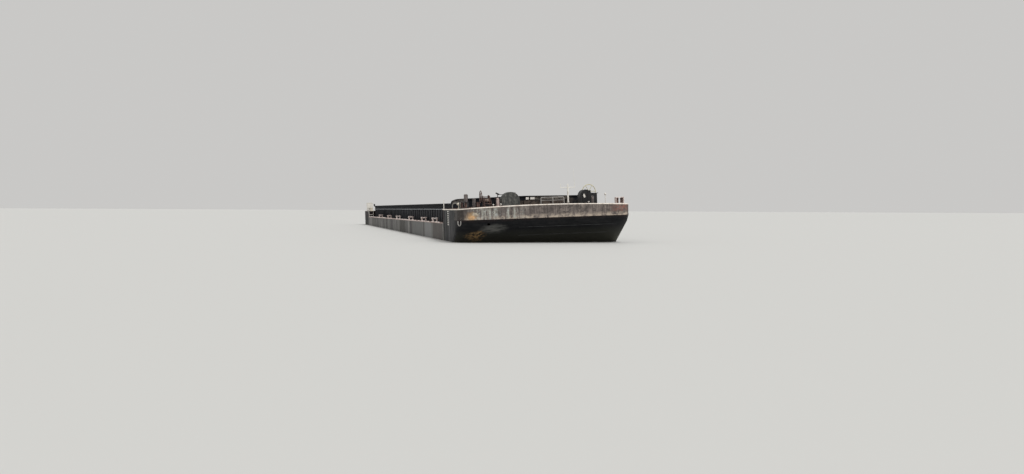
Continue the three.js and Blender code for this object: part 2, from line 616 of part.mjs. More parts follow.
// The hood is rounded over the drum and lower over its port end, where a flat bar sticks out
const HOOD = {
  starboard: -548, port: 582, front: 300, aft: -300, wall: 18, spring: 400, top: 900, crown: [-180, -50],
  slope: [[100, 790], [200, 690]], portTop: 670,
  bar: { half: 45, ends: [330, 765], z: [664, 690] },
};
const HOOD_STEPS = 8;

function archOutline(half, top, shoulder, foot, steps = 8) {
  const arc = Array.from({ length: steps + 1 }, (_, i) => {
    const angle = (i / steps) * (Math.PI / 2);
    return [half * Math.cos(angle), top - shoulder + shoulder * Math.sin(angle)];
  });
  return [[half, foot], ...arc, ...arc.slice(0, -1).reverse().map(([y, z]) => [-y, z]), [-half, foot]];
}

function hoodOutline(inset, foot) {
  const reach = HOOD.crown[0] - HOOD.starboard - inset;
  const rise = HOOD.top - HOOD.spring - inset;
  const arc = Array.from({ length: HOOD_STEPS + 1 }, (_, i) => {
    const angle = (i / HOOD_STEPS) * (Math.PI / 2);
    return [HOOD.crown[0] - reach * Math.cos(angle), HOOD.spring + rise * Math.sin(angle)];
  });
  return [
    [HOOD.starboard + inset, foot], ...arc, [HOOD.crown[1] - inset / 2, HOOD.top - inset],
    ...HOOD.slope.map(([y, z]) => [y - inset / 2, z - inset]),
    [HOOD.port - inset, HOOD.portTop - inset], [HOOD.port - inset, foot],
  ];
}

const hoodShell = cut(
  crossPlate(hoodOutline(0, -BASE_SINK), HOOD.aft, HOOD.front),
  crossPlate(hoodOutline(HOOD.wall, -BASE_SINK - 100), HOOD.aft + HOOD.wall, HOOD.front - HOOD.wall),
  rod(WINCH_P.axle.radius + 12, [0, HOOD.port - 60, WINCH_P.axle.z], [0, HOOD.port + 60, WINCH_P.axle.z], 20),
);
const hoodBar = box(-HOOD.bar.half, HOOD.bar.half, ...HOOD.bar.ends, ...HOOD.bar.z);
const wheelStand = lengthPlate([
  [HOOD.aft + 5, 430], [HOOD.aft - 70, 560], [HOOD.aft - 70, 870], [HOOD.aft - 10, 870],
  [HOOD.aft - 10, 650], [HOOD.aft + 5, 650],
], WINCH_P.wheel.y - 60, WINCH_P.wheel.y + 60);
const wheelBore = rod(WINCH_P.wheel.axle + BORE_PLAY, [HOOD.aft - 20, WINCH_P.wheel.y, WINCH_P.wheel.z],
  [HOOD.aft - 100, WINCH_P.wheel.y, WINCH_P.wheel.z], 20);
addNode('winch_hood_port', 'black_paint', seated(cut(join(hoodShell, hoodBar, wheelStand), wheelBore),
  FITTING_X, WINCH_P.y), winchP);
addNode('winch_wheel_port', 'galvanised', join(
  handwheel(WINCH_P.wheel.radius, WINCH_P.wheel.rim, WINCH_P.wheel.hub).rotateZ(Math.PI / 2)
    .translate(WINCH_P.wheel.x, 0, 0),
  rod(WINCH_P.wheel.axle, [WINCH_P.wheel.x, 0, 0], [HOOD.aft - 25, 0, 0], 20),
).translate(0, WINCH_P.wheel.y, WINCH_P.wheel.z), winchP);

// Companion: an arched housing with a doorway in its aft end, and its hinged door
const COMPANION = { y: -1695, half: 565, top: 850, front: 200, aft: -500, wall: 20 };
const DOOR = { half: 310, foot: 90, head: 700, thickness: 22, pin: 14, hinge: -345 };
const companion = bowGroup(FITTING_X, COMPANION.y);
const doorX = COMPANION.aft - 36;
const doorLugs = [DOOR.foot + 60, DOOR.head - 100].map((z) => box(
  doorX - 22, COMPANION.aft + 5, DOOR.hinge - 24, DOOR.hinge + 24, z, z + 40));
const hingeBore = rod(DOOR.pin + BORE_PLAY, [doorX, DOOR.hinge, 0], [doorX, DOOR.hinge, 800], 16);
addNode('companion_housing', 'hatch_green', seated(cut(join(cut(
  crossPlate(archOutline(COMPANION.half, COMPANION.top, COMPANION.half, -BASE_SINK, 10),
    COMPANION.aft, COMPANION.front),
  crossPlate(archOutline(COMPANION.half - COMPANION.wall, COMPANION.top - COMPANION.wall,
    COMPANION.half - COMPANION.wall, -BASE_SINK - 100, 10),
  COMPANION.aft + COMPANION.wall, COMPANION.front - COMPANION.wall),
  box(COMPANION.aft - 50, COMPANION.aft + 50,
    -DOOR.half + 20, DOOR.half - 20, DOOR.foot + 20, DOOR.head - 20),
), ...doorLugs), hingeBore), FITTING_X, COMPANION.y), companion);
const HANDLE = { radius: 10, x: doorX - 70, y: DOOR.half - 80, foot: 330, head: 460 };
addNode('companion_door', 'hatch_green', join(
  box(doorX - DOOR.thickness / 2, doorX + DOOR.thickness / 2,
    DOOR.hinge + 46, DOOR.half, DOOR.foot, DOOR.head),
  rod(DOOR.pin, [doorX, DOOR.hinge, DOOR.foot + 20], [doorX, DOOR.hinge, DOOR.head - 20], 16),
  ...[DOOR.foot + 130, DOOR.head - 190].map((z) => box(
    doorX - 8, doorX + 8, DOOR.hinge, DOOR.hinge + 60, z, z + 60)),
  rod(HANDLE.radius, [doorX - 10, HANDLE.y, HANDLE.foot], [HANDLE.x, HANDLE.y, HANDLE.foot], 8),
  rod(HANDLE.radius, [HANDLE.x, HANDLE.y, HANDLE.foot - 8], [HANDLE.x, HANDLE.y, HANDLE.head], 8),
), companion);

// Roller fairleads at the bow corners
const FAIRLEAD = { x: HALF_LENGTH - 850, y: 5010, half: 275, height: 430, depth: 130, post: 40 };
const ROLLER = { radius: 80, waist: 0.85, pin: 18, y: 125, play: 8 };

for (const side of [STARBOARD, PORT]) {
  const y = side * FAIRLEAD.y;
  const group = bowGroup(FAIRLEAD.x, y);
  const frame = cut(
    box(-FAIRLEAD.depth, FAIRLEAD.depth, -FAIRLEAD.half, FAIRLEAD.half, -BASE_SINK, FAIRLEAD.height),
    box(-FAIRLEAD.depth - 10, FAIRLEAD.depth + 10,
      -FAIRLEAD.half + FAIRLEAD.post, FAIRLEAD.half - FAIRLEAD.post, 50, FAIRLEAD.height - FAIRLEAD.post),
    ...[-ROLLER.y, ROLLER.y].map((place) => rod(ROLLER.pin + BORE_PLAY,
      [0, place, 20], [0, place, FAIRLEAD.height + 20], 12)),
  );
  addNode(`fairlead_${sideName(side)}`, 'bow_band', seated(frame, FAIRLEAD.x, y), group);
  for (const [place, inOut] of [[-side * ROLLER.y, 'inner'], [side * ROLLER.y, 'outer']]) {
    const low = 50 + ROLLER.play;
    const high = FAIRLEAD.height - FAIRLEAD.post - ROLLER.play;
    addNode(`fairlead_roller_${sideName(side)}_${inOut}`, 'winch_rust', turned([
      [0, 22], [ROLLER.pin, 22], [ROLLER.pin, low], [ROLLER.radius, low],
      [ROLLER.radius * ROLLER.waist, (low + high) / 2], [ROLLER.radius, high], [ROLLER.pin, high],
      [ROLLER.pin, FAIRLEAD.height + 8], [0, FAIRLEAD.height + 8],
    ], 'z', 12).translate(0, place, 0), group);
  }
}

// Stern deck: double bollards, a hatch with a hinged lid, and a locker with a hinged lid
const STERN_BOLLARD = { x: -30300, y: 4950, spread: 330, radius: 125, height: 420 };
for (const side of [STARBOARD, PORT]) {
  addNode(`stern_bollards_${sideName(side)}`, 'post_grey', join(
    box(-560, 560, -190, 190, GAP, 24),
    ...[-1, 1].map((end) => turned([[0, 10], [STERN_BOLLARD.radius, 10], [STERN_BOLLARD.radius, 360],
      [STERN_BOLLARD.radius + 30, 375], [STERN_BOLLARD.radius + 30, 400], [0, STERN_BOLLARD.height]], 'z', 20)
      .translate(end * STERN_BOLLARD.spread, 0, 0)),
  ), groupAt(STERN_BOLLARD.x, side * STERN_BOLLARD.y, STERN_HEIGHT));
}

// An open-topped box with a lid hinged on its aft edge
function liddedBox(prefix, finish, place, { half, height, wall, floor, lid, pin }) {
  const group = groupAt(...place);
  const hingeX = -half - 30;
  const lugs = [-half * 0.6, half * 0.6].map((y) => box(hingeX - 22, -half + 5, y - 20, y + 20,
    height - 120, height + 22));
  const bore = rod(pin + BORE_PLAY, [hingeX, -half, height], [hingeX, half, height], 16);
  addNode(`${prefix}_box`, finish, cut(join(cut(
    box(-half, half, -half, half, GAP, height),
    box(-half + wall, half - wall, -half + wall, half - wall, floor, height + 10)), ...lugs), bore), group);
  addNode(`${prefix}_lid`, finish, join(
    box(-half + 12, half + 25, -half - 25, half + 25, height + 12, height + 12 + lid),
    rod(pin, [hingeX, -half * 0.6 - 40, height], [hingeX, half * 0.6 + 40, height], 16),
    ...[-half * 0.6 + 60, half * 0.6 - 60].map((y) => lengthPlate([[hingeX - 6, height - 6],
      [hingeX + 6, height - 6], [hingeX + 14, height + 6], [-half + 60, height + 8],
      [-half + 60, height + 22], [hingeX - 6, height + 18]], y - 20, y + 20)),
    rod(9, [half - 60, -70, height + lid], [half - 60, -70, height + lid + 55], 8),
    rod(9, [half - 60, 70, height + lid], [half - 60, 70, height + lid + 55], 8),
    rod(9, [half - 60, -78, height + lid + 55], [half - 60, 78, height + lid + 55], 8),
  ), group);
}

liddedBox('stern_locker', 'white_paint', [-32330, -4910, STERN_HEIGHT],
  { half: 360, height: 980, wall: 20, floor: 20, lid: 30, pin: 14 });
liddedBox('stern_hatch', 'hatch_green', [-30600, 0, STERN_HEIGHT],
  { half: 400, height: 260, wall: 16, floor: -10, lid: 26, pin: 14 });

barge.scale.setScalar(MODEL_SCALE);

export default barge;
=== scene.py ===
import json
import math
from contextlib import contextmanager

import bpy
from mathutils import Matrix, Vector, noise


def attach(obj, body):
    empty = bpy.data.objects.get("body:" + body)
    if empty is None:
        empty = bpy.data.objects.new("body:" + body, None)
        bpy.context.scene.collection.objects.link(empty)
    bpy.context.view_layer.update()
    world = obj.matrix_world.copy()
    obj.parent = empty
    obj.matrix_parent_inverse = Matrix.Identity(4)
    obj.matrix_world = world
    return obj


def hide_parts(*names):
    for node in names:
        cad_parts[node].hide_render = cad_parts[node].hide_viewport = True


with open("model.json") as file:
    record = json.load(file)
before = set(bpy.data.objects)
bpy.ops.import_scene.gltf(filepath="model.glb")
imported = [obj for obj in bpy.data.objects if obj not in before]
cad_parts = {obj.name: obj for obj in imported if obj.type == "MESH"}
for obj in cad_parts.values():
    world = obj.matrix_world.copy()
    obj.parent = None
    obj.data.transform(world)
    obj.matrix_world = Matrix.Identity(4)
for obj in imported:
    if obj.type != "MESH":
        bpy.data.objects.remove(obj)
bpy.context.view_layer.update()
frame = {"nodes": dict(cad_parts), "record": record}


def mm(size):
    """A size of the real barge in millimetres, in metres of the half-size frame."""
    return size * 0.0005


# Hull sizes, given in real millimetres
STEM = mm(33000)
HALF_BEAM = mm(5500)
BOW_STEP = mm(27120)
STERN_STEP = -mm(28000)
HOLD_HALF_WIDTH = mm(4650)
HOLD_FLOOR = mm(500)
SIDE_DECK = mm(2800)
STERN_DECK = mm(3450)
BOW_EDGE = mm(3700)
BOW_CAMBER = mm(140)
COAMING_TOP = mm(4090)
STRINGER = mm(3680)
BAND_FOOT = mm(3050)
BAND_AFT = mm(31500)
HAWSE_Y = -mm(3620)
HAWSE_Z = mm(2740)
KNUCKLE = mm(2650)
BILGE = mm(300)
CORNER = mm(690)
STERN_CORNER = mm(420)
DRAUGHT = mm(1441)
FRAME_SPACING = mm(600)
SKIN = mm(8)  # how far plating stands off the solid behind it
PLATE = mm(10)
DECK_SEAMS = [mm(y) for y in (-3700, -1250, 1250, 3700)]
RIM_IN = 0.998  # the share of the beam at which a rim bar's line runs

# Directions
SIDES = ((1, "port"), (-1, "starboard"))
ALONG, ACROSS, UP = (1, 0, 0), (0, 1, 0), (0, 0, 1)

# View: the camera fitted to the photo, in real metres from the stem at the waterline,
# with the barge heeled to starboard and down by the stern
HEEL_ANGLE = 0.0375
TRIM_ANGLE = 0.0027
CAMERA_PLACE = (59.60, -16.25, 2.195)
CAMERA_YAW = 0.2305
CAMERA_PITCH = -0.02943
CAMERA_ROLL = 0.00562
FOCAL_PIXELS = 1004.0
PHOTO_WIDTH = 1024
SENSOR = 36.0


def from_level():
    """The turn from the level frame of the floating barge to that of the upright model."""
    return Matrix.Rotation(-HEEL_ANGLE, 3, "X") @ Matrix.Rotation(TRIM_ANGLE, 3, "Y")


def upright(point):
    """A point near the floating barge, in the frame of the upright model."""
    return Vector((STEM, 0, DRAUGHT)) + from_level() @ Vector(point) / 2


def new_object(name, data):
    made = bpy.data.objects.new(name, data)
    bpy.context.scene.collection.objects.link(made)
    return made


def make_camera():
    data = bpy.data.cameras.new("camera")
    camera = new_object("camera", data)
    ahead = Vector((
        -math.cos(CAMERA_YAW) * math.cos(CAMERA_PITCH),
        math.sin(CAMERA_YAW) * math.cos(CAMERA_PITCH),
        math.sin(CAMERA_PITCH),
    ))
    level = ahead.cross(Vector((0, 0, 1))).normalized()
    up = level.cross(ahead)
    right = math.cos(CAMERA_ROLL) * level + math.sin(CAMERA_ROLL) * up
    over = math.cos(CAMERA_ROLL) * up - math.sin(CAMERA_ROLL) * level
    turn = Matrix((right, over, -ahead)).transposed()
    camera.matrix_world = (
        Matrix.Translation(upright(CAMERA_PLACE))
        @ (from_level() @ turn).to_4x4()
    )
    data.sensor_width = SENSOR
    data.lens = FOCAL_PIXELS * SENSOR / PHOTO_WIDTH
    data.clip_end = 2000
    bpy.context.scene.camera = camera


# Small helpers for modelling. Radii, profiles and bevel widths are given in real millimetres.

def at(origin, x, y, z):
    """A place given in real millimetres from origin."""
    return origin + Vector((mm(x), mm(y), mm(z)))


def angles(steps, whole=math.pi):
    """Evenly spaced angles from 0 to the whole."""
    return [whole * i / steps for i in range(steps + 1)]


def deselect_all():
    if bpy.context.mode != "OBJECT":
        bpy.ops.object.mode_set(mode="OBJECT")
    bpy.ops.object.select_all(action="DESELECT")


def only(piece):
    deselect_all()
    piece.select_set(True)
    bpy.context.view_layer.objects.active = piece
    return piece


def settle(name):
    """Names the new primitive and moves its place into its mesh."""
    piece = bpy.context.object
    piece.name = name
    bpy.ops.object.transform_apply(location=True, rotation=True, scale=True)
    return piece


def block(name, corner, opposite):
    deselect_all()
    corner, opposite = Vector(corner), Vector(opposite)
    size = [abs(length) for length in opposite - corner]
    bpy.ops.mesh.primitive_cube_add(size=1, location=(corner + opposite) / 2, scale=size)
    return settle(name)


def bar(name, radius, start, end, sides=16):
    deselect_all()
    start, end = Vector(start), Vector(end)
    along = end - start
    bpy.ops.mesh.primitive_cylinder_add(
        vertices=sides, radius=mm(radius), depth=along.length, location=(start + end) / 2,
        rotation=along.to_track_quat("Z", "Y").to_euler())
    return settle(name)


def hoop(name, radius, thickness, centre, axis=UP, sides=40, section=10):
    deselect_all()
    bpy.ops.mesh.primitive_torus_add(
        major_radius=mm(radius), minor_radius=mm(thickness), major_segments=sides, minor_segments=section,
        location=centre, rotation=Vector(axis).to_track_quat("Z", "Y").to_euler())
    return settle(name)


@contextmanager
def editing(piece, kind="FACE"):
    """Edit mode, with all of the piece selected."""
    only(piece)
    bpy.ops.object.mode_set(mode="EDIT")
    bpy.ops.mesh.select_mode(type=kind)
    bpy.ops.mesh.select_all(action="SELECT")
    yield
    bpy.ops.object.mode_set(mode="OBJECT")


def applied(piece, kind, **settings):
    only(piece)
    modifier = piece.modifiers.new(kind.lower(), kind)
    for key, value in settings.items():
        setattr(modifier, key, value)
    bpy.ops.object.modifier_apply(modifier=modifier.name)
    return piece


def cut(piece, tool):
    """Takes the shape of the tool out of the piece, and the tool away."""
    applied(piece, "BOOLEAN", object=tool, operation="DIFFERENCE", solver="EXACT")
    bpy.data.objects.remove(tool)


def joined(name, pieces):
    deselect_all()
    for piece in pieces:
        piece.select_set(True)
    bpy.context.view_layer.objects.active = pieces[0]
    if len(pieces) > 1:
        bpy.ops.object.join()
    pieces[0].name = name
    return pieces[0]


def copied(piece, name, place=Matrix.Identity(4)):
    twin = new_object(name, piece.data.copy())
    twin.data.transform(place)
    return twin


def shaded(piece, angle=32):
    only(piece)
    bpy.ops.object.shade_smooth_by_angle(angle=math.radians(angle))
    return piece


def flat_shaded(piece, angle=32):
    """Smooth at its rounded edges, while its broad plates keep flat light."""
    return applied(shaded(piece, angle), "WEIGHTED_NORMAL", keep_sharp=True)


def eased(piece, width, segments=2, angle=32):
    """Takes the sharp edges off a piece and shades what is left smooth."""
    applied(piece, "BEVEL", width=mm(width), segments=segments, limit_method="ANGLE",
            angle_limit=math.radians(angle))
    return flat_shaded(piece, angle)


def from_solid(node, whole_faces=True):
    """A copy of a CAD solid, with its triangles merged into whole faces where these stay simple."""
    piece = copied(frame["nodes"][node], node + "_shape")
    piece.data.materials.clear()
    with editing(piece, "VERT"):
        bpy.ops.mesh.remove_doubles(threshold=2e-5)
        if whole_faces:
            bpy.ops.mesh.dissolve_limited(angle_limit=math.radians(0.6))
    return piece


def turned(name, profile, foot, axis=UP, sides=32):
    """A round piece drawn up from its foot ring by ring: profile holds (radius, height) pairs."""
    profile = [(mm(radius), mm(height)) for radius, height in profile]
    deselect_all()
    bpy.ops.mesh.primitive_circle_add(
        vertices=sides, radius=profile[0][0], fill_type="NGON", location=(0, 0, profile[0][1]))
    piece = settle(name)
    with editing(piece):
        bpy.ops.mesh.flip_normals()
        for (radius, height), (wider, higher) in zip(profile, profile[1:]):
            bpy.ops.mesh.extrude_region_move(TRANSFORM_OT_translate={"value": (0, 0, higher - height)})
            ratio = wider / radius
            bpy.ops.transform.resize(value=(ratio, ratio, 1), center_override=(0, 0, higher))
        bpy.ops.mesh.select_all(action="SELECT")
        bpy.ops.mesh.normals_make_consistent(inside=False)
    turn = Vector(axis).to_track_quat("Z", "Y").to_matrix().to_4x4()
    piece.data.transform(Matrix.Translation(foot) @ turn)
    return piece


def run_of_bar(name, points, radius, closed=False, sides=4):
    """A round bar bent along points."""
    data = bpy.data.curves.new(name, "CURVE")
    data.dimensions = "3D"
    data.bevel_depth = mm(radius)
    data.bevel_resolution = sides
    data.use_fill_caps = True
    line = data.splines.new("POLY")
    line.points.add(len(points) - 1)
    for knot, point in zip(line.points, points):
        knot.co = (*point, 1)
    line.use_cyclic_u = closed
    only(new_object(name, data))
    bpy.ops.object.convert(target="MESH")
    return bpy.context.object


def dress(piece, finish, slot=None, body="hull", replaces=()):
    """Gives a finished piece its material and its body, and hides the CAD parts that it replaces; slot has no
    effect.
    """
    piece.data.materials.clear()
    piece.data.materials.append(MATERIALS[finish])
    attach(piece, body)
    slot or finish
    if replaces:
        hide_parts(*replaces)
    return piece


def trim(name, parts, finish, slot=None, body="hull", angle=32):
    """Joins the parts into a dressed piece that has no CAD solid of its own."""
    dress(shaded(joined(name, parts), angle), finish, slot, body)


def whole(node, parts, finish, slot=None, body="hull"):
    """Joins the parts into the dressed piece that takes a CAD solid's place."""
    dress(flat_shaded(joined(node + "_shape", parts)), finish, slot, body, [node])


def solid_as_piece(node, width, finish, slot=None, body="hull", whole_faces=True):
    """A CAD solid with its edges eased, dressed as itself."""
    dress(eased(from_solid(node, whole_faces), width), finish, slot, body, [node])


# Small helpers for materials

def linear(hex_colour):
    """An sRGB hex colour such as "#8a4b2a" as linear red, green, blue and alpha."""
    parts = [int(hex_colour[i:i + 2], 16) / 255 for i in (1, 3, 5)]
    return [p / 12.92 if p <= 0.04045 else ((p + 0.055) / 1.055) ** 2.4 for p in parts] + [1.0]


class Finish:
    """A material under way: its nodes, its shader, the place on the object and its height.

    A mask is a value with a low and a high end, between which it goes from 0 to 1.
    """

    def __init__(self, name):
        self.material = bpy.data.materials.new(name)
        self.material.use_nodes = True
        self.tree = self.material.node_tree
        self.tree.nodes.clear()
        self.shader = self.add("BsdfPrincipled").node
        self.add("OutputMaterial", {"Surface": self.shader.outputs["BSDF"]})
        self.where = self.add("TexCoord", out="Object")
        self.height = self.add("SeparateXYZ", {"Vector": self.where}, out="Z")

    def add(self, kind, inputs=None, stops=None, out=None, **settings):
        """Adds one shader node with its settings, its input values or links, and a ramp's stops.

        It gives back the output named out, or else the first that the settings leave in use.
        """
        made = self.tree.nodes.new("ShaderNode" + kind)
        for key, value in settings.items():
            setattr(made, key, value)
        for key, value in (inputs or {}).items():
            if isinstance(value, bpy.types.NodeSocket):
                self.tree.links.new(value, made.inputs[key])
            else:
                made.inputs[key].default_value = value
        if stops:
            elements = made.color_ramp.elements
            while len(elements) < len(stops):
                elements.new(1.0)
            for element, (place, colour) in zip(elements, stops):
                element.position = place
                element.color = linear(colour)
        return made.outputs[out] if out else next((o for o in made.outputs if o.enabled), None)

    def clouds(self, size, stretch=(1, 1, 1), detail=6, roughness=0.6):
        """Noise of a size in real millimetres, drawn out along an axis whose stretch is under 1."""
        drawn = self.add("Mapping", {"Vector": self.where, "Scale": stretch})
        return self.add("TexNoise", {
            "Vector": drawn, "Scale": 1 / mm(size), "Detail": detail, "Roughness": roughness})

    def region(self, centre, half, ragged=0.3, soft=0.3, grain=240, rounded=False):
        """A mask that is 1 inside a box or an ellipsoid with a ragged edge, and 0 outside it."""
        local = self.add("Mapping", {
            "Vector": self.where, "Location": centre, "Scale": half}, vector_type="TEXTURE")
        shake = self.add("TexNoise", {"Vector": self.where, "Scale": 1 / mm(grain), "Detail": 5}, out="Color")
        swing = self.add("VectorMath", {0: shake, 1: (0.5, 0.5, 0.5)}, operation="SUBTRACT")
        swung = self.add("VectorMath", {0: swing, 1: (2 * ragged,) * 3, 2: local}, operation="MULTIPLY_ADD")
        if rounded:
            reach = self.add("VectorMath", {0: swung}, operation="LENGTH")
        else:
            size = self.add("VectorMath", {0: swung}, operation="ABSOLUTE")
            x, y, z = self.add("SeparateXYZ", {"Vector": size}).node.outputs
            wider = self.add("Math", {0: x, 1: y}, operation="MAXIMUM")
            reach = self.add("Math", {0: wider, 1: z}, operation="MAXIMUM")
        return reach, 1 + soft / 2, 1 - soft / 2

    def veil(self, tone, *masks):
        """Lays a tone, or a socket's colour, over what is there, as far as all the masks let it."""
        share = 1.0
        for value, low, high in masks:
            mask = self.add("MapRange", {"Value": value, "From Min": low, "From Max": high})
            share = self.add("Math", {0: share, 1: mask}, operation="MULTIPLY")
        base = self.shader.inputs["Base Color"]
        over = linear(tone) if isinstance(tone, str) else tone
        under = base.links[0].from_socket
        mixed = self.add("Mix", {"Factor": share, "A": under, "B": over}, data_type="RGBA")
        self.tree.links.new(mixed, base)


FAR = 90.0  # model metres, a region's half size along an axis that does not bound it
RUST = ("#3f2a1f", "#6b432b")
GRIT = 8  # real millimetres: true grit is finer, and drawn this coarse so that it shows


def painted_steel(name, tones, blotch, streak, rust_share, roughness):
    """Old paint on steel plate: a few tones in blotches, runs that hang down, rust where it failed.

    blotch and streak are widths in real millimetres, rust_share goes up to 1.
    """
    finish = Finish(name)
    cloud = finish.clouds(blotch)
    runs = finish.clouds(streak, (1, 1, 0.07), detail=5, roughness=0.55)
    spots = finish.clouds(blotch / 2.2, detail=10, roughness=0.7)
    blend = finish.add("Mix", {"Factor": 0.5, "A": cloud, "B": runs}, data_type="FLOAT")
    tint = finish.add("ValToRGB", {"Fac": blend}, [
        (0.38 + 0.24 * i / (len(tones) - 1), tone) for i, tone in enumerate(tones)])
    rusted = finish.add("Mix", {"Factor": 0.4, "A": spots, "B": runs}, data_type="FLOAT")
    rough = finish.add("MapRange", {
        "Value": rusted, "From Min": 0.3, "From Max": 0.7,
        "To Min": roughness - 0.08, "To Max": roughness + 0.12})
    grit = finish.clouds(GRIT, detail=3)
    relief = finish.add("Mix", {"Factor": 0.3, "A": spots, "B": grit}, data_type="FLOAT")
    bump = finish.add("Bump", {"Height": relief, "Strength": 0.35, "Distance": mm(8)})
    for socket, entry in ((tint, "Base Color"), (rough, "Roughness"), (bump, "Normal")):
        finish.tree.links.new(socket, finish.shader.inputs[entry])
    rust_tone = finish.add("ValToRGB", {"Fac": cloud}, [(0.35, RUST[0]), (0.65, RUST[1])])
    edge = 0.66 - 0.3 * rust_share
    finish.veil(rust_tone, (rusted, edge, edge + 0.08))
    return finish


def bitumen_bottom_paint():
    """Black bitumen, scuffed where gear rubs, streaked grey on the flanks of the bow, mud along its foot,
    with painted light towards the water and painted shadow under the band.
    """
    finish = painted_steel("bitumen_bottom_paint", ["#111215", "#18191c", "#212122"], 1000, 160, 0.02, 0.6)
    finish.shader.inputs["Specular IOR Level"].default_value = 0.12
    scrapes = finish.clouds(100, (1, 0.12, 1), detail=8)
    # painted light: lighter towards the water, against the shade on the rake that faces down
    finish.veil("#484840", (finish.height, 1.2, 0.75))
    scuff = finish.region((16.3, -1.62, 1.22), (1, 0.36, 0.13), 0.35, 0.8, rounded=True)
    finish.veil("#6c6c69", scuff, (scrapes, 0.36, 0.56))
    mud = finish.region((15.8, -2.12, 1.0), (1.2, 0.26, 0.14), 0.9, 0.9, 320, rounded=True)
    finish.veil("#997d57", mud, (finish.clouds(180, detail=7), 0.42, 0.54))
    # painted shadow: a brown darkening just under the foot of the bow band
    finish.veil("#33292a", (finish.height, 1.42, 1.53), (finish.clouds(400), 0.35, 0.6))
    finish.veil("#2b2b2d", (finish.clouds(600, (1, 0.05, 1)), 0.5, 0.62), (scrapes, 0.5, 0.75))
    streaks = finish.add("ValToRGB", {"Fac": finish.clouds(440, (1, 1, 0.08), detail=7)}, [
        (0.35, "#242527"), (0.5, "#3a3a3b"), (0.65, "#57575a")])
    for side in (1, -1):
        flank = finish.region((14.8, side * 2.75, 1.2), (1.0, 0.035, FAR), 0.04, 0.05)
        finish.veil(streaks, flank)
    return finish.material


def weathered_shell_paint():
    """Thin grey-brown paint: each strip of plate has its own tone, with dirt runs down from the deck edge."""
    finish = painted_steel("weathered_shell_paint", ["#413f3e", "#545250", "#66645f"], 1400, 180, 0.05, 0.62)
    strip = finish.add("VectorMath", {0: finish.where, 1: (0.62, FAR, FAR)}, operation="SNAP")
    own = finish.add("TexWhiteNoise", {"Vector": strip})
    patches = (finish.clouds(1000), 0.3, 0.55)
    finish.veil("#84827f", (own, 0.5, 0.9), patches)
    finish.veil("#2c2a2a", (own, 0.4, 0.1), patches)
    runs = finish.clouds(220, (1, 1, 0.02), detail=3)
    broad = finish.clouds(600)
    finish.veil("#2a2521", (runs, 0.54, 0.62), (finish.height, 0.6, 1.3))
    finish.veil("#8b8a88", (runs, 0.43, 0.36), (broad, 0.35, 0.55))
    for place, half, tone in (
            (2.45, 1.0, "#2b2821"), (5.35, 0.2, "#201f20"), (7.3, 1.25, "#60605f"), (9.02, 0.12, "#242323"),
            (10.15, 0.8, "#7b7b7b"), (12.3, 1.0, "#48413d")):
        plate = finish.region((place, -2.75, 1.0), (half, 0.3, FAR), 0.12, 0.2, 600)
        finish.veil(tone, plate, (broad, 0.15, 0.4))
    return finish.material


def worn_bow_paint():
    """Pale paint rubbed to its undercoat: pinkish grey, pale along the foot, rust at the port corner."""
    finish = painted_steel("worn_bow_paint", ["#4a423f", "#6a615c", "#8b8078"], 400, 100, 0.08, 0.68)
    mottle = finish.clouds(120, detail=8, roughness=0.75)
    coarse = finish.clouds(320, (1, 1, 1.6), detail=7, roughness=0.7)
    smears = finish.clouds(180, (1, 1, 0.1), detail=7, roughness=0.7)
    finish.veil("#4c4541", (coarse, 0.5, 0.6), (finish.height, 1.56, 1.66))
    finish.veil("#aea091", (finish.height, 1.66, 1.56), (coarse, 0.42, 0.56))
    faded_paint_and_painted_light = finish.region((16.5, -1.55, 1.68), (1, 0.72, 0.16), 0.3, 0.8)
    finish.veil("#a09f95", faded_paint_and_painted_light, (smears, 0.48, 0.62))
    finish.veil("#b4b8b5", faded_paint_and_painted_light, (mottle, 0.5, 0.62), (smears, 0.4, 0.55))
    finish.veil("#453e3b", (smears, 0.46, 0.4), (mottle, 0.4, 0.56))
    for tone, y, z, wide, tall, ragged, grain, low, high in (
            ("#a3835a", -2.36, 1.62, 0.15, 0.12, 0.9, 180, 0.38, 0.5),
            ("#cda273", -2.34, 1.6, 0.09, 0.06, 0.8, 140, 0.42, 0.52),
            ("#bcb3a2", -2.24, 1.69, 0.1, 0.05, 0.8, 140, 0.44, 0.54)):
        patch = finish.region((16.5, y, z), (1, wide, tall), ragged, ragged, grain, rounded=True)
        finish.veil(tone, patch, (mottle, low, high))
    rusted = finish.region((16.3, 2.5, 1.77), (1, 0.34, 0.11), 0.6, 0.8, 160)
    finish.veil("#875a4e", rusted, (mottle, 0.42, 0.58))
    # painted shade: both rounded corners of the band are darkened, as if turned from the light
    for middle in (-2.88, 3.0):
        corner = finish.region((15.9, middle, 1.6), (1, 0.34, FAR), 0.3, 0.4)
        finish.veil("#37322f", corner, (mottle, 0.2, 0.5))
    return finish.material


def rusty_deck_plate():
    """Red oxide worn into rust, with pale dust along the edges of the side decks."""
    finish = painted_steel("rusty_deck_plate", ["#4a3830", "#5f4a40", "#7a665b"], 600, 200, 0.5, 0.75)
    for side in (-1, 1):
        edge = finish.region((-0.2, side * 2.72, 1.4), (14.1, 0.06, 0.1), 0.5, 0.7, 120)
        finish.veil("#d9c6bd", edge, (finish.clouds(320, detail=8), 0.45, 0.55))
    return finish.material


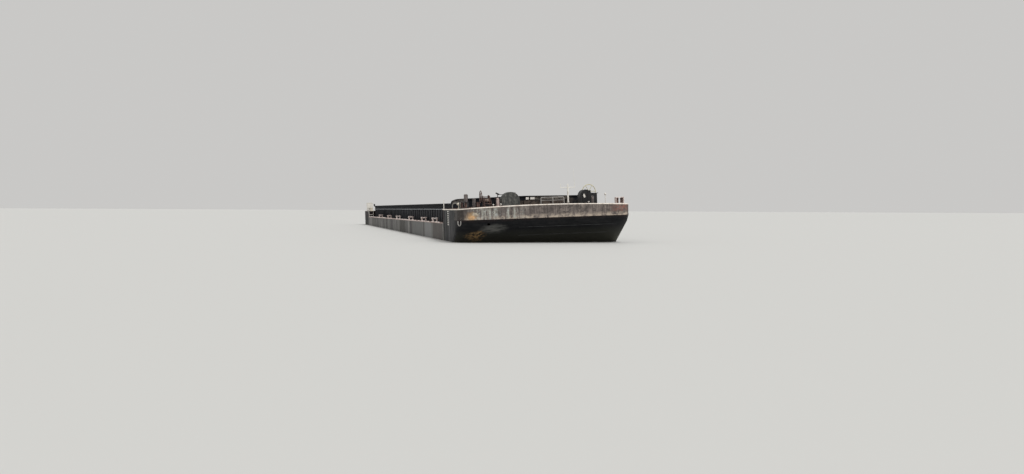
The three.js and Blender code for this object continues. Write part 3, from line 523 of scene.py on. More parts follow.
def coaming_paint():
    """Dull blue-black paint, browned on the forward coaming, and lightened as painted light on the lower
    sides of the long ones.
    """
    finish = painted_steel("coaming_paint", ["#15171b", "#1e2025", "#2d2d2f"], 800, 120, 0.03, 0.75)
    finish.shader.inputs["Specular IOR Level"].default_value = 0.08
    worn = (finish.clouds(200, detail=8), 0.35, 0.55)
    for tone, y, z, wide, tall in (
            ("#7a756e", 0.95, 2.13, 0.65, 0.05), ("#5b524b", 0.5, 1.97, 1.1, 0.1),
            ("#73706c", -2.2, 2.1, 0.24, 0.06)):
        finish.veil(tone, finish.region((13.6, y, z), (0.15, wide, tall), 0.3, 0.4), worn)
    # painted light: the long coamings are lightened below the stringer, against the shade under the stringer
    # and its stays
    faded_paint_and_painted_light = (finish.clouds(240, (1, 1, 0.07)), 0.25, 0.5)
    for side in (-1, 1):
        finish.veil("#4f5054", finish.region((-0.2, side * 2.5, 1.4), (13.7, 0.25, 0.43), 0.02, 0.03), faded_paint_and_painted_light)
    return finish.material


def make_materials():
    """One finish for each slot, and a few more for trim."""
    plain = {
        # bare plate, often scoured: matt brown with paler rubs
        "hold_steel": ("scoured_hold_plate", ["#5a4a3d", "#75634f", "#8f7d63"], 1000, 200, 0.4, 0.6),
        # whitewashed steel: bright and dull, a little dirty
        "white_paint": ("chalky_white_paint", ["#d9d6cd", "#ebe8e0", "#f6f3ec"], 200, 60, -0.3, 0.5),
        # posts rubbed bare: dark paint and grey steel mixed
        "post_grey": ("worn_post_paint", ["#3a3636", "#605957", "#8f8682"], 120, 60, 0.1, 0.6),
        # castings: red-brown, rough and blotched
        "winch_rust": ("rusty_cast_iron", ["#33211f", "#54403a", "#8a6d61"], 120, 60, 0.1, 0.7),
        # enamel: near black with a dull shine
        "black_paint": ("black_enamel", ["#0c0d10", "#141518", "#232427"], 300, 80, 0.0, 0.5),
        # thin paint on sheet: grey-green patches
        "hatch_green": ("mottled_hatch_paint", ["#373a39", "#525350", "#7a7a74"], 140, 60, 0.05, 0.7),
        # old zinc: mid grey, slightly warm
        "galvanised": ("dull_galvanised_steel", ["#5f5d58", "#7f7c75", "#a19d94"], 120, 40, 0.0, 0.45),
        # the bow's edge: light paint that catches the eye
        "edge_trim": ("rubbed_edge_paint", ["#cdbfb3", "#f0e6da", "#fffaf0"], 240, 100, -0.2, 0.6),
        # scraped pipe and strap: light grey, uneven
        "strap": ("scuffed_grey_paint", ["#6d6a68", "#9a9793", "#bdbab5"], 600, 200, 0.0, 0.6),
        # the side deck's edge: red oxide under pale dust
        "side_edge": ("dusty_red_oxide", ["#6b5148", "#b09a92", "#eaded6"], 400, 120, 0.05, 0.7),
        # bitts and crusts: pale pink, flaking
        "bitt_pink": ("flaking_pink_paint", ["#9a8782", "#f3e3dc", "#ffffff"], 100, 60, 0.0, 0.65),
        # the stringer's edge: a clean light line
        "line_grey": ("pale_edge_paint", ["#8f959b", "#b4b9bf", "#d2d5d8"], 600, 200, -0.2, 0.6),
        # weld seams under bitumen: a thin grey line
        "seam": ("grey_weld_seam", ["#2a2b2d", "#48494b", "#5c5d5f"], 600, 400, 0.0, 0.6),
        # wire wound on a drum: fibrous brown and straw
        "rope": ("old_wire_and_rope", ["#5b4c45", "#8f7d72", "#c2b1a4"], 100, 40, 0.0, 0.8),
        # the port handwheel: dull yellow rubbed pale
        "brass": ("rubbed_yellow_paint", ["#9c9263", "#c9bf86", "#e8dfae"], 200, 60, -0.1, 0.5),
        # old white: cream and matt
        "chalk": ("yellowed_white_paint", ["#b4ad9c", "#ddd6c4", "#f3ecd9"], 200, 60, -0.1, 0.6),
        # the inner post: faded pink with bare spots
        "pale_frame": ("faded_pink_paint", ["#7d6764", "#bca9a3", "#e6d8d0"], 120, 60, 0.08, 0.6),
        # tarred frames: warm near-black
        "dark_frame": ("tarred_steel", ["#1d1c1d", "#2a2828", "#3c3836"], 200, 60, 0.1, 0.6),
    }
    finishes = {slot: painted_steel(*row).material for slot, row in plain.items()}
    finishes["hull_black"] = bitumen_bottom_paint()
    finishes["shell_grey"] = weathered_shell_paint()
    finishes["bow_band"] = worn_bow_paint()
    finishes["deck_rust"] = rusty_deck_plate()
    finishes["coaming_blue"] = coaming_paint()
    return finishes


def make_stage():
    """A pale floor at the waterline of the floating barge, and soft studio light."""
    deselect_all()
    bpy.ops.mesh.primitive_plane_add(size=600, location=(STEM, 0, DRAUGHT), rotation=from_level().to_euler())
    floor = settle("floor")
    edge = HOLD_HALF_WIDTH + mm(200)
    cut(floor, block("well", (STERN_STEP, -edge, -1), (BOW_STEP, edge, 4)))
    pale = Finish("pale_floor")
    pale.shader.inputs["Base Color"].default_value = linear("#cfcfcc")
    pale.shader.inputs["Roughness"].default_value = 0.6
    floor.data.materials.append(pale.material)
    world = bpy.data.worlds.new("soft_sky")
    world.use_nodes = True
    sky = world.node_tree.nodes["Background"].inputs
    sky["Color"].default_value = linear("#dedddb")
    sky["Strength"].default_value = 0.8
    bpy.context.scene.world = world
    sun = bpy.data.lights.new("key", "SUN")
    sun.energy = 1.8
    sun.angle = math.radians(30)
    new_object("key", sun).rotation_euler = Vector((-0.6, -0.35, -1.0)).to_track_quat("-Z", "Y").to_euler()
    bpy.context.scene.view_settings.view_transform = "Standard"


# Hull plating: sheets that cover the CAD blocks, dished between their frames

def dish(along, up, rows, seed, depth):
    """How far plate sinks between its stiffeners, different in each field between them."""
    field = Vector((math.floor(along / FRAME_SPACING), math.floor(up / rows), seed))
    share = 0.55 + 0.45 * noise.noise(field * 0.731 + Vector((0.37, 0.11, 0.73)))
    bulge = math.sin(math.pi * along / FRAME_SPACING) * math.sin(math.pi * up / rows)
    return depth * share * abs(bulge) ** 0.8


def dent(point, size, depth):
    """Slow knocks and hollows of worn plate, from 0 to depth."""
    return depth * (0.5 + 0.5 * noise.noise(Vector(point) / size))


def plating(name, columns, rows, place, thickness, outwards):
    """A sheet of plate: a grid whose points go where place(u, v) says, with u and v from 0 to 1."""
    deselect_all()
    bpy.ops.mesh.primitive_grid_add(x_subdivisions=columns, y_subdivisions=rows, size=1)
    sheet = settle(name)
    for vertex in sheet.data.vertices:
        vertex.co = place(vertex.co.x + 0.5, vertex.co.y + 0.5)
    middle = sheet.data.polygons[len(sheet.data.polygons) // 2 + columns // 2]
    if middle.normal.dot(Vector(outwards)) < 0:
        with editing(sheet):
            bpy.ops.mesh.flip_normals()
    applied(sheet, "SOLIDIFY", thickness=thickness, offset=-1)
    return shaded(sheet, 40)


def outline_point(u, end, half_beam, corner, inner):
    """A point of an end's level outline, from starboard aft round to port aft, and which way is out."""
    if u > 0.5:
        spot, out = outline_point(1 - u, end, half_beam, corner, inner)
        return Vector((spot.x, -spot.y)), Vector((out.x, -out.y))
    straight = half_beam - corner
    side, arc = 0.22, 0.07
    if u < side:
        return Vector((inner + (end - corner - inner) * u / side, -half_beam)), Vector((0, -1))
    if u < side + arc:
        angle = (u - side) / arc * math.pi / 2
        out = Vector((math.sin(angle), -math.cos(angle)))
        return Vector((end - corner, -straight)) + corner * out, out
    share = (u - side - arc) / (1 - 2 * side - 2 * arc)
    return Vector((end, -straight + 2 * straight * share)), Vector((1, 0))


def outline(steps, corner, inner):
    """Points all along the outline at full beam."""
    return [outline_point(i / steps, STEM, HALF_BEAM, corner, inner)[0] for i in range(steps + 1)]


def bilge_half_beam(height):
    drop = max(0.0, BILGE - height)
    return HALF_BEAM - BILGE + math.sqrt(BILGE ** 2 - drop ** 2)


def rake_setback(height, foot, arc, angle):
    rise = arc * (1 - math.cos(angle))
    if height < rise:
        return foot - math.sqrt(arc ** 2 - (arc - height) ** 2)
    return foot - arc * math.sin(angle) - (height - rise) / math.tan(angle)


BOW_RAKE = {"arc": mm(2400), "angle": math.radians(31.7)}
BOW_RAKE_FOOT = mm(330) - rake_setback(KNUCKLE, 0, **BOW_RAKE)
STERN_RAKE = {"arc": mm(3000), "angle": math.radians(20)}
TRANSOM_FOOT = mm(1200)
STERN_RAKE_FOOT = -rake_setback(TRANSOM_FOOT, 0, **STERN_RAKE)


def bow_level(height):
    """End, half beam and corner radius of the bow at a height."""
    if height >= BAND_FOOT:
        return STEM, HALF_BEAM, CORNER
    if height >= KNUCKLE:
        share = (height - KNUCKLE) / (BAND_FOOT - KNUCKLE)
        return STEM - mm(330) * (1 - share), HALF_BEAM, CORNER
    end = STEM - rake_setback(height, BOW_RAKE_FOOT, **BOW_RAKE)
    return end, bilge_half_beam(height), min(CORNER, 0.9 * (end - BOW_STEP))


def stern_level(height):
    """The same for the stern, measured as if it pointed forward."""
    if height >= TRANSOM_FOOT:
        return STEM, HALF_BEAM, STERN_CORNER
    end = STEM - rake_setback(height, STERN_RAKE_FOOT, **STERN_RAKE)
    return end, bilge_half_beam(height), min(STERN_CORNER, 0.9 * (end + STERN_STEP))


def even_heights(level, low, high, rows):
    """Heights from low to high that are evenly spaced along the sloping plate."""
    fine = [low + (high - low) * (i / 400) ** 2 for i in range(401)]
    run = [0.0]
    for a, b in zip(fine, fine[1:]):
        run.append(run[-1] + math.hypot(b - a, level(b)[0] - level(a)[0]))
    heights, at_step = [], 0
    for i in range(rows + 1):
        goal = run[-1] * i / rows
        while at_step < 399 and run[at_step + 1] < goal:
            at_step += 1
        share = (goal - run[at_step]) / (run[at_step + 1] - run[at_step])
        heights.append(fine[at_step] + share * (fine[at_step + 1] - fine[at_step]))
    return heights


def end_plating(name, level, heights, inner, forward, depth, columns):
    """Plating round an end of the hull; forward is 1 at the bow and -1 at the stern."""
    rows = len(heights) - 1

    def place(u, v):
        height = heights[round(v * rows)]
        spot, out = outline_point(u, *level(height), inner)
        along = spot.x if abs(out.x) < 0.3 else spot.y
        sink = dish(along, height, mm(700), forward, depth) + dent((*spot, height), 0.9, depth)
        spot = spot + out * (SKIN + PLATE / 2 - sink)
        return Vector((forward * spot.x, forward * spot.y, height))

    return plating(name, columns, rows, place, PLATE, (forward, 0, 0))


def deck_height(y):
    return BOW_EDGE + BOW_CAMBER * (1 - (y / HALF_BEAM) ** 2)


def on_deck(x, y, up=0.0):
    return Vector((x, y, deck_height(y) + up))


def deck_point(u, v, step, corner):
    """A place on an end's deck, from its step to its round-cornered edge."""
    edge = HALF_BEAM - mm(30)
    y = edge * (2 * u - 1)
    over = max(0.0, abs(y) - (edge - corner))
    reach = STEM - mm(30) - corner + math.sqrt(max(0.0, corner ** 2 - over ** 2))
    return step + (reach - step) * v, y


def make_bow():
    heights = even_heights(bow_level, 0.0, BAND_FOOT - mm(4), 46)
    shell = end_plating("bow_plating", bow_level, heights, BOW_STEP, 1, mm(7), 240)
    inside, outside = [(x, HAWSE_Y, HAWSE_Z) for x in (STEM - mm(900), STEM + mm(200))]
    cut(shell, bar("hawse_cutter", 105, inside, outside, 32))
    dress(shell, "hull_black")
    seams = []
    for height, reach in ((mm(2490), mm(4650)), (mm(1960), mm(4300))):
        end = bow_level(height)[0] + SKIN + mm(5)
        seams.append(bar("seam", 11, (end, -reach * 0.35, height), (end, reach, height), 8))
    trim("bow_front_seams", seams, "seam", "hull_black")

    def band_place(u, v):
        spot, out = outline_point(u, STEM, HALF_BEAM, CORNER, BAND_AFT)
        height = BAND_FOOT + mm(2) + (deck_height(spot.y) - BAND_FOOT - mm(2)) * v
        knock = dent((*spot, height), 0.22, mm(26)) * math.sin(math.pi * min(1, 1.15 * v))
        spot = spot - out * (knock + dent((*spot, height), 0.07, mm(5)) - mm(6))
        return Vector((spot.x, spot.y, height))

    dress(plating("bow_band_plate", 300, 16, band_place, mm(22), ALONG), "bow_band", replaces=["bow_band"])
    rim = [(p.x - mm(12) * (p.x > BAND_AFT), p.y * RIM_IN, deck_height(p.y) - mm(10))
           for p in outline(160, CORNER, BOW_STEP)]
    trim("bow_gunwale", [run_of_bar("rim", rim, 34)], "edge_trim", "bow_band")
    foot = [(p.x - mm(8), p.y * RIM_IN, BAND_FOOT + mm(4)) for p in outline(120, CORNER, BAND_AFT)]
    trim("bow_band_foot", [run_of_bar("foot", foot, 26)], "bow_band")

    def deck_place(u, v):
        x, y = deck_point(u, v, BOW_STEP + mm(70), CORNER)
        return on_deck(x, y, SKIN + mm(4) - dish(x, y, mm(900), 3, mm(6)))

    dress(plating("bow_deck_plating", 110, 60, deck_place, mm(6), UP), "deck_rust")
    bead = SKIN + mm(7)
    welds = [run_of_bar("weld", [on_deck(mm(x), mm(y), bead) for y in range(-5400, 5401, 300)], 9, sides=2)
             for x in (28600, 30100, 31700)]
    welds += [bar("weld", 9, on_deck(BOW_STEP + mm(90), y, bead), on_deck(STEM - mm(60), y, bead), 8)
              for y in DECK_SEAMS]
    trim("bow_deck_seams", welds, "deck_rust")


def make_stern():
    heights = even_heights(stern_level, 0.0, STERN_DECK - mm(6), 34)
    dress(end_plating("stern_plating", stern_level, heights, -STERN_STEP, -1, mm(6), 220), "hull_black")

    def deck_place(u, v):
        x, y = deck_point(u, v, -STERN_STEP + mm(6), STERN_CORNER)
        return Vector((-x, y, STERN_DECK + SKIN + mm(4) - dish(x, y, mm(900), 5, mm(6))))

    dress(plating("stern_deck_plating", 100, 50, deck_place, mm(6), UP), "deck_rust")
    level, edge = STERN_DECK + SKIN + mm(7), HALF_BEAM - mm(60)
    welds = [bar("weld", 9, (x, -edge, level), (x, edge, level), 8) for x in (-mm(29400), -mm(31300))]
    front, aft = STERN_STEP - mm(60), -STEM + mm(60)
    welds += [bar("weld", 9, (front, y, level), (aft, y, level), 8) for y in DECK_SEAMS]
    trim("stern_deck_seams", welds, "deck_rust")
    rim = [(-p.x, -p.y * RIM_IN, STERN_DECK + mm(6)) for p in outline(140, STERN_CORNER, -STERN_STEP)]
    trim("stern_gunwale", [run_of_bar("rim", rim, 30)], "bow_band")


def make_sides():
    path = [(HALF_BEAM - BILGE * (1 - math.sin(a)), BILGE * (1 - math.cos(a)))
            for a in angles(6, math.pi / 2)]
    path += [(HALF_BEAM, BILGE + (SIDE_DECK - mm(10) - BILGE) * i / 22) for i in range(1, 23)]
    front, aft = BOW_STEP - mm(4), STERN_STEP + mm(4)

    def side_bar(name, radius, y, start, end, sides=8):
        """A bar from one (x, z) to another at a place across the hull."""
        return bar(name, radius, (start[0], y, start[1]), (end[0], y, end[1]), sides)

    for side, name in SIDES:
        def place(u, v, side=side):
            y, z = path[round(v * (len(path) - 1))]
            x = aft + (front - aft) * u
            sink = dish(x, z, mm(700), side, mm(7)) + dent((x, side * 3, z), 0.9, mm(6))
            return Vector((x, side * (y + SKIN + PLATE / 2 - sink * min(1, z / mm(500))), z))

        shell = plating(f"side_plating_{name}", 380, len(path) - 1, place, PLATE, (0, side, 0))
        dress(shell, "shell_grey")
        face = side * (HALF_BEAM + mm(10))
        places = [aft + (front - aft) * i / 8 for i in range(1, 8)]
        seams = [side_bar("seam", 7, face, (x, mm(340)), (x, SIDE_DECK - mm(20))) for x in places]
        seams.append(side_bar("seam", 7, face, (aft, mm(1450)), (front, mm(1450))))
        trim(f"side_seams_{name}", seams, "shell_grey")
        level, edge, step = SIDE_DECK - mm(4), side * (HALF_BEAM - mm(2)), side * (HALF_BEAM + mm(2))
        rim = side_bar("rim", 30, edge, (aft, level), (front, level), 16)
        trim(f"side_gunwale_{name}", [rim], "side_edge", "deck_rust")
        strap = side_bar("strap", 34, step, (BOW_STEP, mm(300)), (BOW_STEP, SIDE_DECK), 16)
        trim(f"bow_step_strap_{name}", [strap], "strap", "shell_grey")


def make_hold():
    front, aft = BOW_STEP - mm(6), STERN_STEP + mm(6)
    foot = HOLD_FLOOR + mm(10)

    def floor_place(u, v):
        x = aft + (front - aft) * u
        y = (HOLD_HALF_WIDTH - mm(14)) * (2 * v - 1)
        sink = dish(x, y, mm(900), 9, mm(9)) + dent((x, y, 0), 0.6, mm(4))
        return Vector((x, y, HOLD_FLOOR + mm(20) - sink))

    dress(plating("hold_floor_plating", 290, 48, floor_place, mm(8), UP), "hold_steel")
    for side, name in SIDES:
        def wall_place(u, v, side=side):
            x = aft + (front - aft) * u
            z = foot + (SIDE_DECK - foot) * v
            sink = dish(x, z, mm(800), 7 + side, mm(8)) + dent((x, side, z), 0.6, mm(5))
            return Vector((x, side * (HOLD_HALF_WIDTH - mm(16) + sink), z))

        dress(plating(f"hold_wall_{name}", 290, 14, wall_place, mm(8), (0, -side, 0)), "hold_steel")
    for end, top, name, facing in ((front, BOW_EDGE, "forward", -1), (aft, STERN_DECK, "aft", 1)):
        def end_place(u, v, end=end, top=top, facing=facing):
            y = (HOLD_HALF_WIDTH - mm(20)) * (2 * u - 1)
            z = foot + (top - mm(10) - foot) * v
            return Vector((end + facing * (mm(12) - dish(y, z, mm(800), 11 + facing, mm(8))), y, z))

        dress(plating(f"hold_end_{name}", 60, 16, end_place, mm(8), (facing, 0, 0)), "hold_steel")


# Deck fittings

JOINT_PLACE = {joint["name"]: Vector(joint["pos_m"]) for joint in frame["record"]["behaviour"]["joints"]}
FITTING_X = mm(30500)


def bent_bar(name, origin, points, radius, sides=3, closed=False):
    """A round bar through points given in real millimetres from origin."""
    return run_of_bar(name, [at(origin, *point) for point in points], radius, closed, sides)


def set_round(name, piece, count, centre, axis):
    """Copies of a piece set round an axis through centre, joined with it."""
    centre = Vector(centre)
    ring = [piece]
    for i in range(1, count):
        turn = Matrix.Rotation(2 * math.pi * i / count, 4, Vector(axis))
        ring.append(copied(piece, name, Matrix.Translation(centre) @ turn @ Matrix.Translation(-centre)))
    return joined(name, ring)


def bolt(radius, centre, axis=UP):
    axis = Vector(axis) * mm(radius)
    return bar("bolt", radius, centre - axis * 0.4, centre + axis * 0.9, 6)


def bolts(radius, origin, xs, ys, z):
    return [bolt(radius, at(origin, x, y, z)) for x in xs for y in ys]


def flange(foot, radius, pipe):
    """A foot plate with a weld bead round the pipe that stands on it."""
    return turned("flange", [(radius, -30), (radius, 11), (pipe + 9, 14), (pipe + 1, 27)], foot, sides=28)


def make_posts():
    for node, x, y, r, h, finish in (
            ("bow_post_starboard_tall", FITTING_X, -4560, 125, 890, "post_grey"),
            ("bow_post_starboard_short", FITTING_X, -4045, 112, 592, "post_grey"),
            ("bow_post_starboard_inner", FITTING_X, -2517, 102, 526, "pale_frame"),
            ("bow_post_port", mm(31800), 3345, 85, 500, "post_grey")):
        foot = on_deck(x, mm(y))
        post = turned("post", [
            (r, -40), (r, h - r * 0.5), (r * 0.97, h - r * 0.34), (r * 0.86, h - r * 0.17),
            (r * 0.62, h - r * 0.06), (r * 0.3, h)], foot, sides=48)
        pad = turned("pad", [
            (r * 1.5, -30), (r * 1.5, 12), (r * 1.45, 17), (r + 12, 18), (r + 2, 28)], foot, sides=48)
        lip = hoop("lip", r * 0.985, 9, at(foot, 0, 0, h - r * 0.5), sides=48)
        whole(node, [post, pad, lip], finish, "post_grey")


def make_cross_bitts():
    middle = Vector()
    parts = [eased(block("foot", at(middle, -100, -250, 1), at(middle, 100, 250, 18)), 5)]
    for y in (-150, 150):
        post = [(60, 10), (60, 272), (81, 280), (84, 292), (72, 302), (24, 306)]
        parts.append(turned("post", post, at(middle, 0, y, 0), sides=28))
        parts.append(hoop("bead", 62, 9, at(middle, 0, y, 20), sides=28, section=8))
    arm = [(24, -244), (38, -238), (40, -222), (40, 222), (38, 238), (24, 244)]
    parts.append(turned("bar", arm, at(middle, 0, 0, 240), ACROSS, 24))
    model = shaded(joined("cross_bitt_model", parts))
    for side, name in SIDES:
        for i, x in enumerate((20900, 15350, 7630, -1350, -8850, -17520)):
            node = f"cross_bitt_{name}_{i + 1}"
            bitt = copied(model, node + "_shape", Matrix.Translation((mm(x), side * mm(5080), SIDE_DECK)))
            dress(bitt, "bitt_pink", "post_grey", replaces=[node])
    bpy.data.objects.remove(model)


def make_ventilator():
    foot = on_deck(FITTING_X, mm(-4975))
    stem = turned("stem", [(150, -30), (150, 22), (142, 34), (98, 40), (92, 60), (92, 275)], foot, sides=40)
    cap = turned("cap", [
        (120, 268), (168, 262), (174, 282), (168, 312), (140, 352), (95, 382), (40, 392), (12, 393),
        (12, 398), (30, 399), (30, 411), (10, 414)], foot, sides=40)
    ring = set_round("bolts", bolt(11, at(foot, 124, 0, 34)), 8, foot, UP)
    whole("bow_ventilator", [stem, cap, ring], "chalk", "white_paint")


def make_air_pipe():
    foot = on_deck(mm(30100), mm(-5365))
    bend = [(0, 0, -30), (0, 0, 120), (0, 0, 220)]
    bend += [(0, 170 - 170 * math.cos(a), 230 + 140 * math.sin(a)) for a in angles(14)]
    pipe = bent_bar("pipe", foot, bend + [(0, 340, 226)], 32, 4)
    mouth = hoop("mouth", 31, 7, at(foot, 0, 340, 236), sides=28)
    whole("bow_air_pipe", [pipe, flange(foot, 66, 32), mouth], "galvanised")


def make_marker_posts():
    foot = on_deck(mm(27230), mm(-5440))
    parts = [turned("post", [(25, -30), (25, 575), (30, 581), (30, 603), (16, 615)], foot, sides=24),
             flange(foot, 52, 25)]
    parts += [hoop("band", 26, 5, at(foot, 0, 0, z), sides=24, section=8) for z in (180, 360)]
    whole("marker_post_starboard", parts, "white_paint")
    foot = on_deck(mm(29300), mm(5040))
    post = turned("post", [
        (25, -30), (25, 590), (34, 596), (34, 604), (52, 624), (66, 650), (70, 674), (62, 704), (44, 727),
        (20, 740)], foot)
    whole("marker_post_port", [post, flange(foot, 52, 25)], "white_paint")


def make_bow_rail():
    base = Vector((mm(32550), 0, deck_height(0)))
    low, middle, high = -230, 530, 1250
    curve = [(0, low, 60), (0, low, 370), (0, low + 18, 410), (0, low + 60, 430)]
    curve += [(x, low + high - y, z) for x, y, z in reversed(curve)]
    parts = [
        bent_bar("hoop_rail", base, curve, 24, 4),
        bar("stay", 22, at(base, 0, middle, 0), at(base, 0, middle, 430), 20),
        bar("lower", 14, at(base, 0, low, 245), at(base, 0, high, 245), 16)]
    for y in (low, middle, high):
        foot = on_deck(base.x, mm(y))
        parts += [bar("foot", 24, at(foot, 0, 0, -20), at(base, 0, y, 80), 20), flange(foot, 55, 24)]
    whole("bow_rail", parts, "strap", "galvanised")


def make_mast():
    solid_as_piece("mast_foot", 4, "galvanised")
    hinge = JOINT_PLACE["mast_fold"]
    base = at(hinge, 0, 0, -110)
    parts = [
        turned("pole", [
            (36, 62), (44, 78), (50, 100), (50, 1010), (46, 1030), (42, 1210), (20, 1240)], base),
        turned("pin", [(14, -92), (14, 78), (21, 79), (21, 91)], hinge, ACROSS, 20),
        turned("yard", [
            (14, -480), (20, -474), (24, 0), (20, 464), (14, 470)], at(base, 0, 0, 1020), ACROSS, 20),
        turned("clamp", [(51, 985), (57, 990), (57, 1050), (51, 1055)], base),
        turned("upright", [
            (18, 1005), (20, 1190), (28, 1196), (28, 1222), (12, 1240)], at(base, 0, -465, 0), sides=20),
        turned("whip", [(19, 0), (19, 120), (13, 140), (11, 700), (8, 1181)], at(base, 0, 455, 1015),
               Vector((0, -55, 1180)).normalized(), 16),
        turned("lamp", [
            (34, 700), (46, 704), (46, 716), (38, 720), (38, 776), (46, 780), (46, 792), (22, 806)],
            at(base, 92, 0, 0), sides=24),
        block("bracket", at(base, 0, -14, 688), at(base, 100, 14, 700))]
    parts += [hoop("clamp", 26, 8, at(base, 0, y, 1020), ACROSS, 24, 8) for y in (-80, 80)]
    whole("mast", parts, "white_paint", body="mast")


def make_wheel(radius, rim, hub, centre, axis, first):
    """The rim, spokes and hub of a handwheel; first is the direction of its first spoke."""
    centre, axis, first = Vector(centre), Vector(axis), Vector(first)
    parts = [hoop("rim", radius, rim, centre, axis, 64, 12)]
    for i in range(3):
        spoke = Matrix.Rotation(math.pi * i / 3, 3, axis) @ first * mm(radius)
        parts.append(bar("spoke", rim * 0.68, centre - spoke, centre + spoke, 14))
    boss = [(hub * 0.8, -32), (hub, -26), (hub, 26), (hub * 0.8, 32), (hub * 0.5, 33)]
    return parts + [turned("hub", boss, centre, axis)]


def gear_teeth(radius, low, high, centre, count):
    """Teeth round a wheel that turns about Y, from low to high along it."""
    tooth = block("tooth", at(centre, -7, low, radius - 14), at(centre, 7, high, radius))
    return set_round("teeth", tooth, count, centre, ACROSS)


def make_drum(winch, half, flange_radius, barrel, gear, axle, reach, wire, finish):
    """A winch drum on its axle along Y, with a toothed ring at its port end and wire laid on its barrel."""
    body = f"{winch}_drum"
    place = JOINT_PLACE[body + "_turn"]
    end, f, ring = half - 26, flange_radius, half - 26 - gear
    parts = [turned("drum", [
        (axle * 0.8, reach[0]), (axle, reach[0] + 6), (axle, -end), (f - 8, -end), (f, -end + 6),
        (f, -end + 20), (f - 8, -end + 26), (barrel, -end + 26), (barrel, ring), (f - 22, ring),
        (f - 14, ring + 6), (f - 14, end - 6), (f - 22, end), (axle, end), (axle, reach[1] - 6),
        (axle * 0.8, reach[1])], place, ACROSS, 56), gear_teeth(f, ring + 6, end - 6, place, 44)]
    parts.append(set_round("bolts", bolt(9, at(place, f * 0.75, -end, 0), (0, -1, 0)), 8, place, ACROSS))
    whole(f"winch_drum_{winch}", parts, finish, body=body)
    laid = [-end + 28 + wire * (2 * i + 1) for i in range(int((end + ring - 30) / (2 * wire)))]
    turns = [hoop("turn", barrel + wire * 0.8, wire, at(place, 0, y, 0), ACROSS, 40, 6) for y in laid]
    trim(f"winch_wire_{winch}", turns, "rope", "winch_rust", body)


def make_starboard_winch():
    origin = on_deck(FITTING_X, mm(-3210))
    drum_place, shaft = JOINT_PLACE["starboard_drum_turn"], JOINT_PLACE["starboard_wheel_turn"]
    parts = [eased(from_solid("winch_bed_starboard"), 4)]
    parts += bolts(13, origin, (-290, 290), (-180, 180), 34)
    ring = [(62, -20), (66, -16), (66, 16), (62, 20), (36, 21)]
    parts += [turned("bearing", ring, at(drum_place, 0, side * 226, 0), (0, side, 0), 28) for side in (-1, 1)]
    brake = ((180, 130, 60), (190, 130, 300), (210, 130, 520), (250, 132, 640))
    parts.append(bent_bar("brake", origin, brake, 13))
    parts.append(eased(block("box_lid", at(origin, -262, -712, 296), at(origin, 262, -518, 312)), 4))
    whole("winch_bed_starboard", parts, "winch_rust")
    make_drum("starboard", 210, 205, 100, 80, 34, (-270, 260), 9, "winch_rust")
    parts = make_wheel(380, 24, 52, at(shaft, 0, -350, 0), ACROSS, ALONG)
    parts.append(turned("shaft", [(18, -350), (22, -345), (22, 255), (18, 260)], shaft, ACROSS, 28))
    parts.append(turned("pinion", [(60, 104), (84, 106), (84, 180), (60, 184)], shaft, ACROSS, 36))
    parts.append(gear_teeth(95, 108, 180, shaft, 20))
    grip = [(13, -130), (19, -120), (19, -30), (12, -20), (10, 0)]
    parts.append(turned("handle", grip, at(shaft, 330, -360, 0), ACROSS, 20))
    whole("winch_wheel_starboard", parts, "winch_rust", body="starboard_wheel")


def make_port_winch():
    origin = on_deck(FITTING_X, mm(3385))
    parts = [eased(from_solid("winch_bed_port"), 4)]
    parts += bolts(13, origin, (-225, 225), (-380, -300, 300, 380), 34)
    whole("winch_bed_port", parts, "black_paint")
    make_drum("port", 440, 215, 110, 90, 36, (-480, 640), 11, "black_paint")

    edge = [(-548, 30), (-548, 400)]
    edge += [(-180 - 368 * math.cos(a), 400 + 500 * math.sin(a)) for a in angles(32)[1:17]]
    edge += [(-50, 900), (100, 790), (200, 690), (582, 670), (582, 30)]
    parts = [eased(from_solid("winch_hood_port"), 6)]
    parts += [bent_bar("rim", origin, [(x, y, z) for y, z in edge], 12) for x in (300, -300)]
    parts += [bent_bar("rib", origin, ((306, y, 60), (306, y, top)), 9, 2)
              for y, top in ((-380, 690), (-40, 860), (300, 640))]
    parts.append(hoop("eye", 34, 9, at(origin, 0, -110, 925), ACROSS, 24, 8))
    parts += bolts(12, origin, (-20, 20), (720,), 692)
    whole("winch_hood_port", parts, "black_paint")

    # painted highlight: a white oval plate on the hood's face stands for the glint on the black hood
    plate = turned("plate", [(86, 0), (90, 4), (86, 8), (60, 9)], Vector(), sides=36)
    oval = Matrix.Diagonal((1, 0.75, 1.45, 1)) @ Matrix.Rotation(math.pi / 2, 4, "Y")
    place = Matrix.Translation(at(origin, 301, -267, 518))
    plate.data.transform(place @ Matrix.Rotation(0.25, 4, "X") @ oval)
    trim("painted_highlight_plate_on_hood", [plate], "white_paint")

    shaft = JOINT_PLACE["port_wheel_turn"]
    parts = make_wheel(442, 19, 44, shaft, ALONG, ACROSS)
    parts.append(turned("shaft", [(18, -4), (22, 0), (22, 190), (18, 195)], shaft, ALONG, 24))
    whole("winch_wheel_port", parts, "brass", "galvanised", "port_wheel")


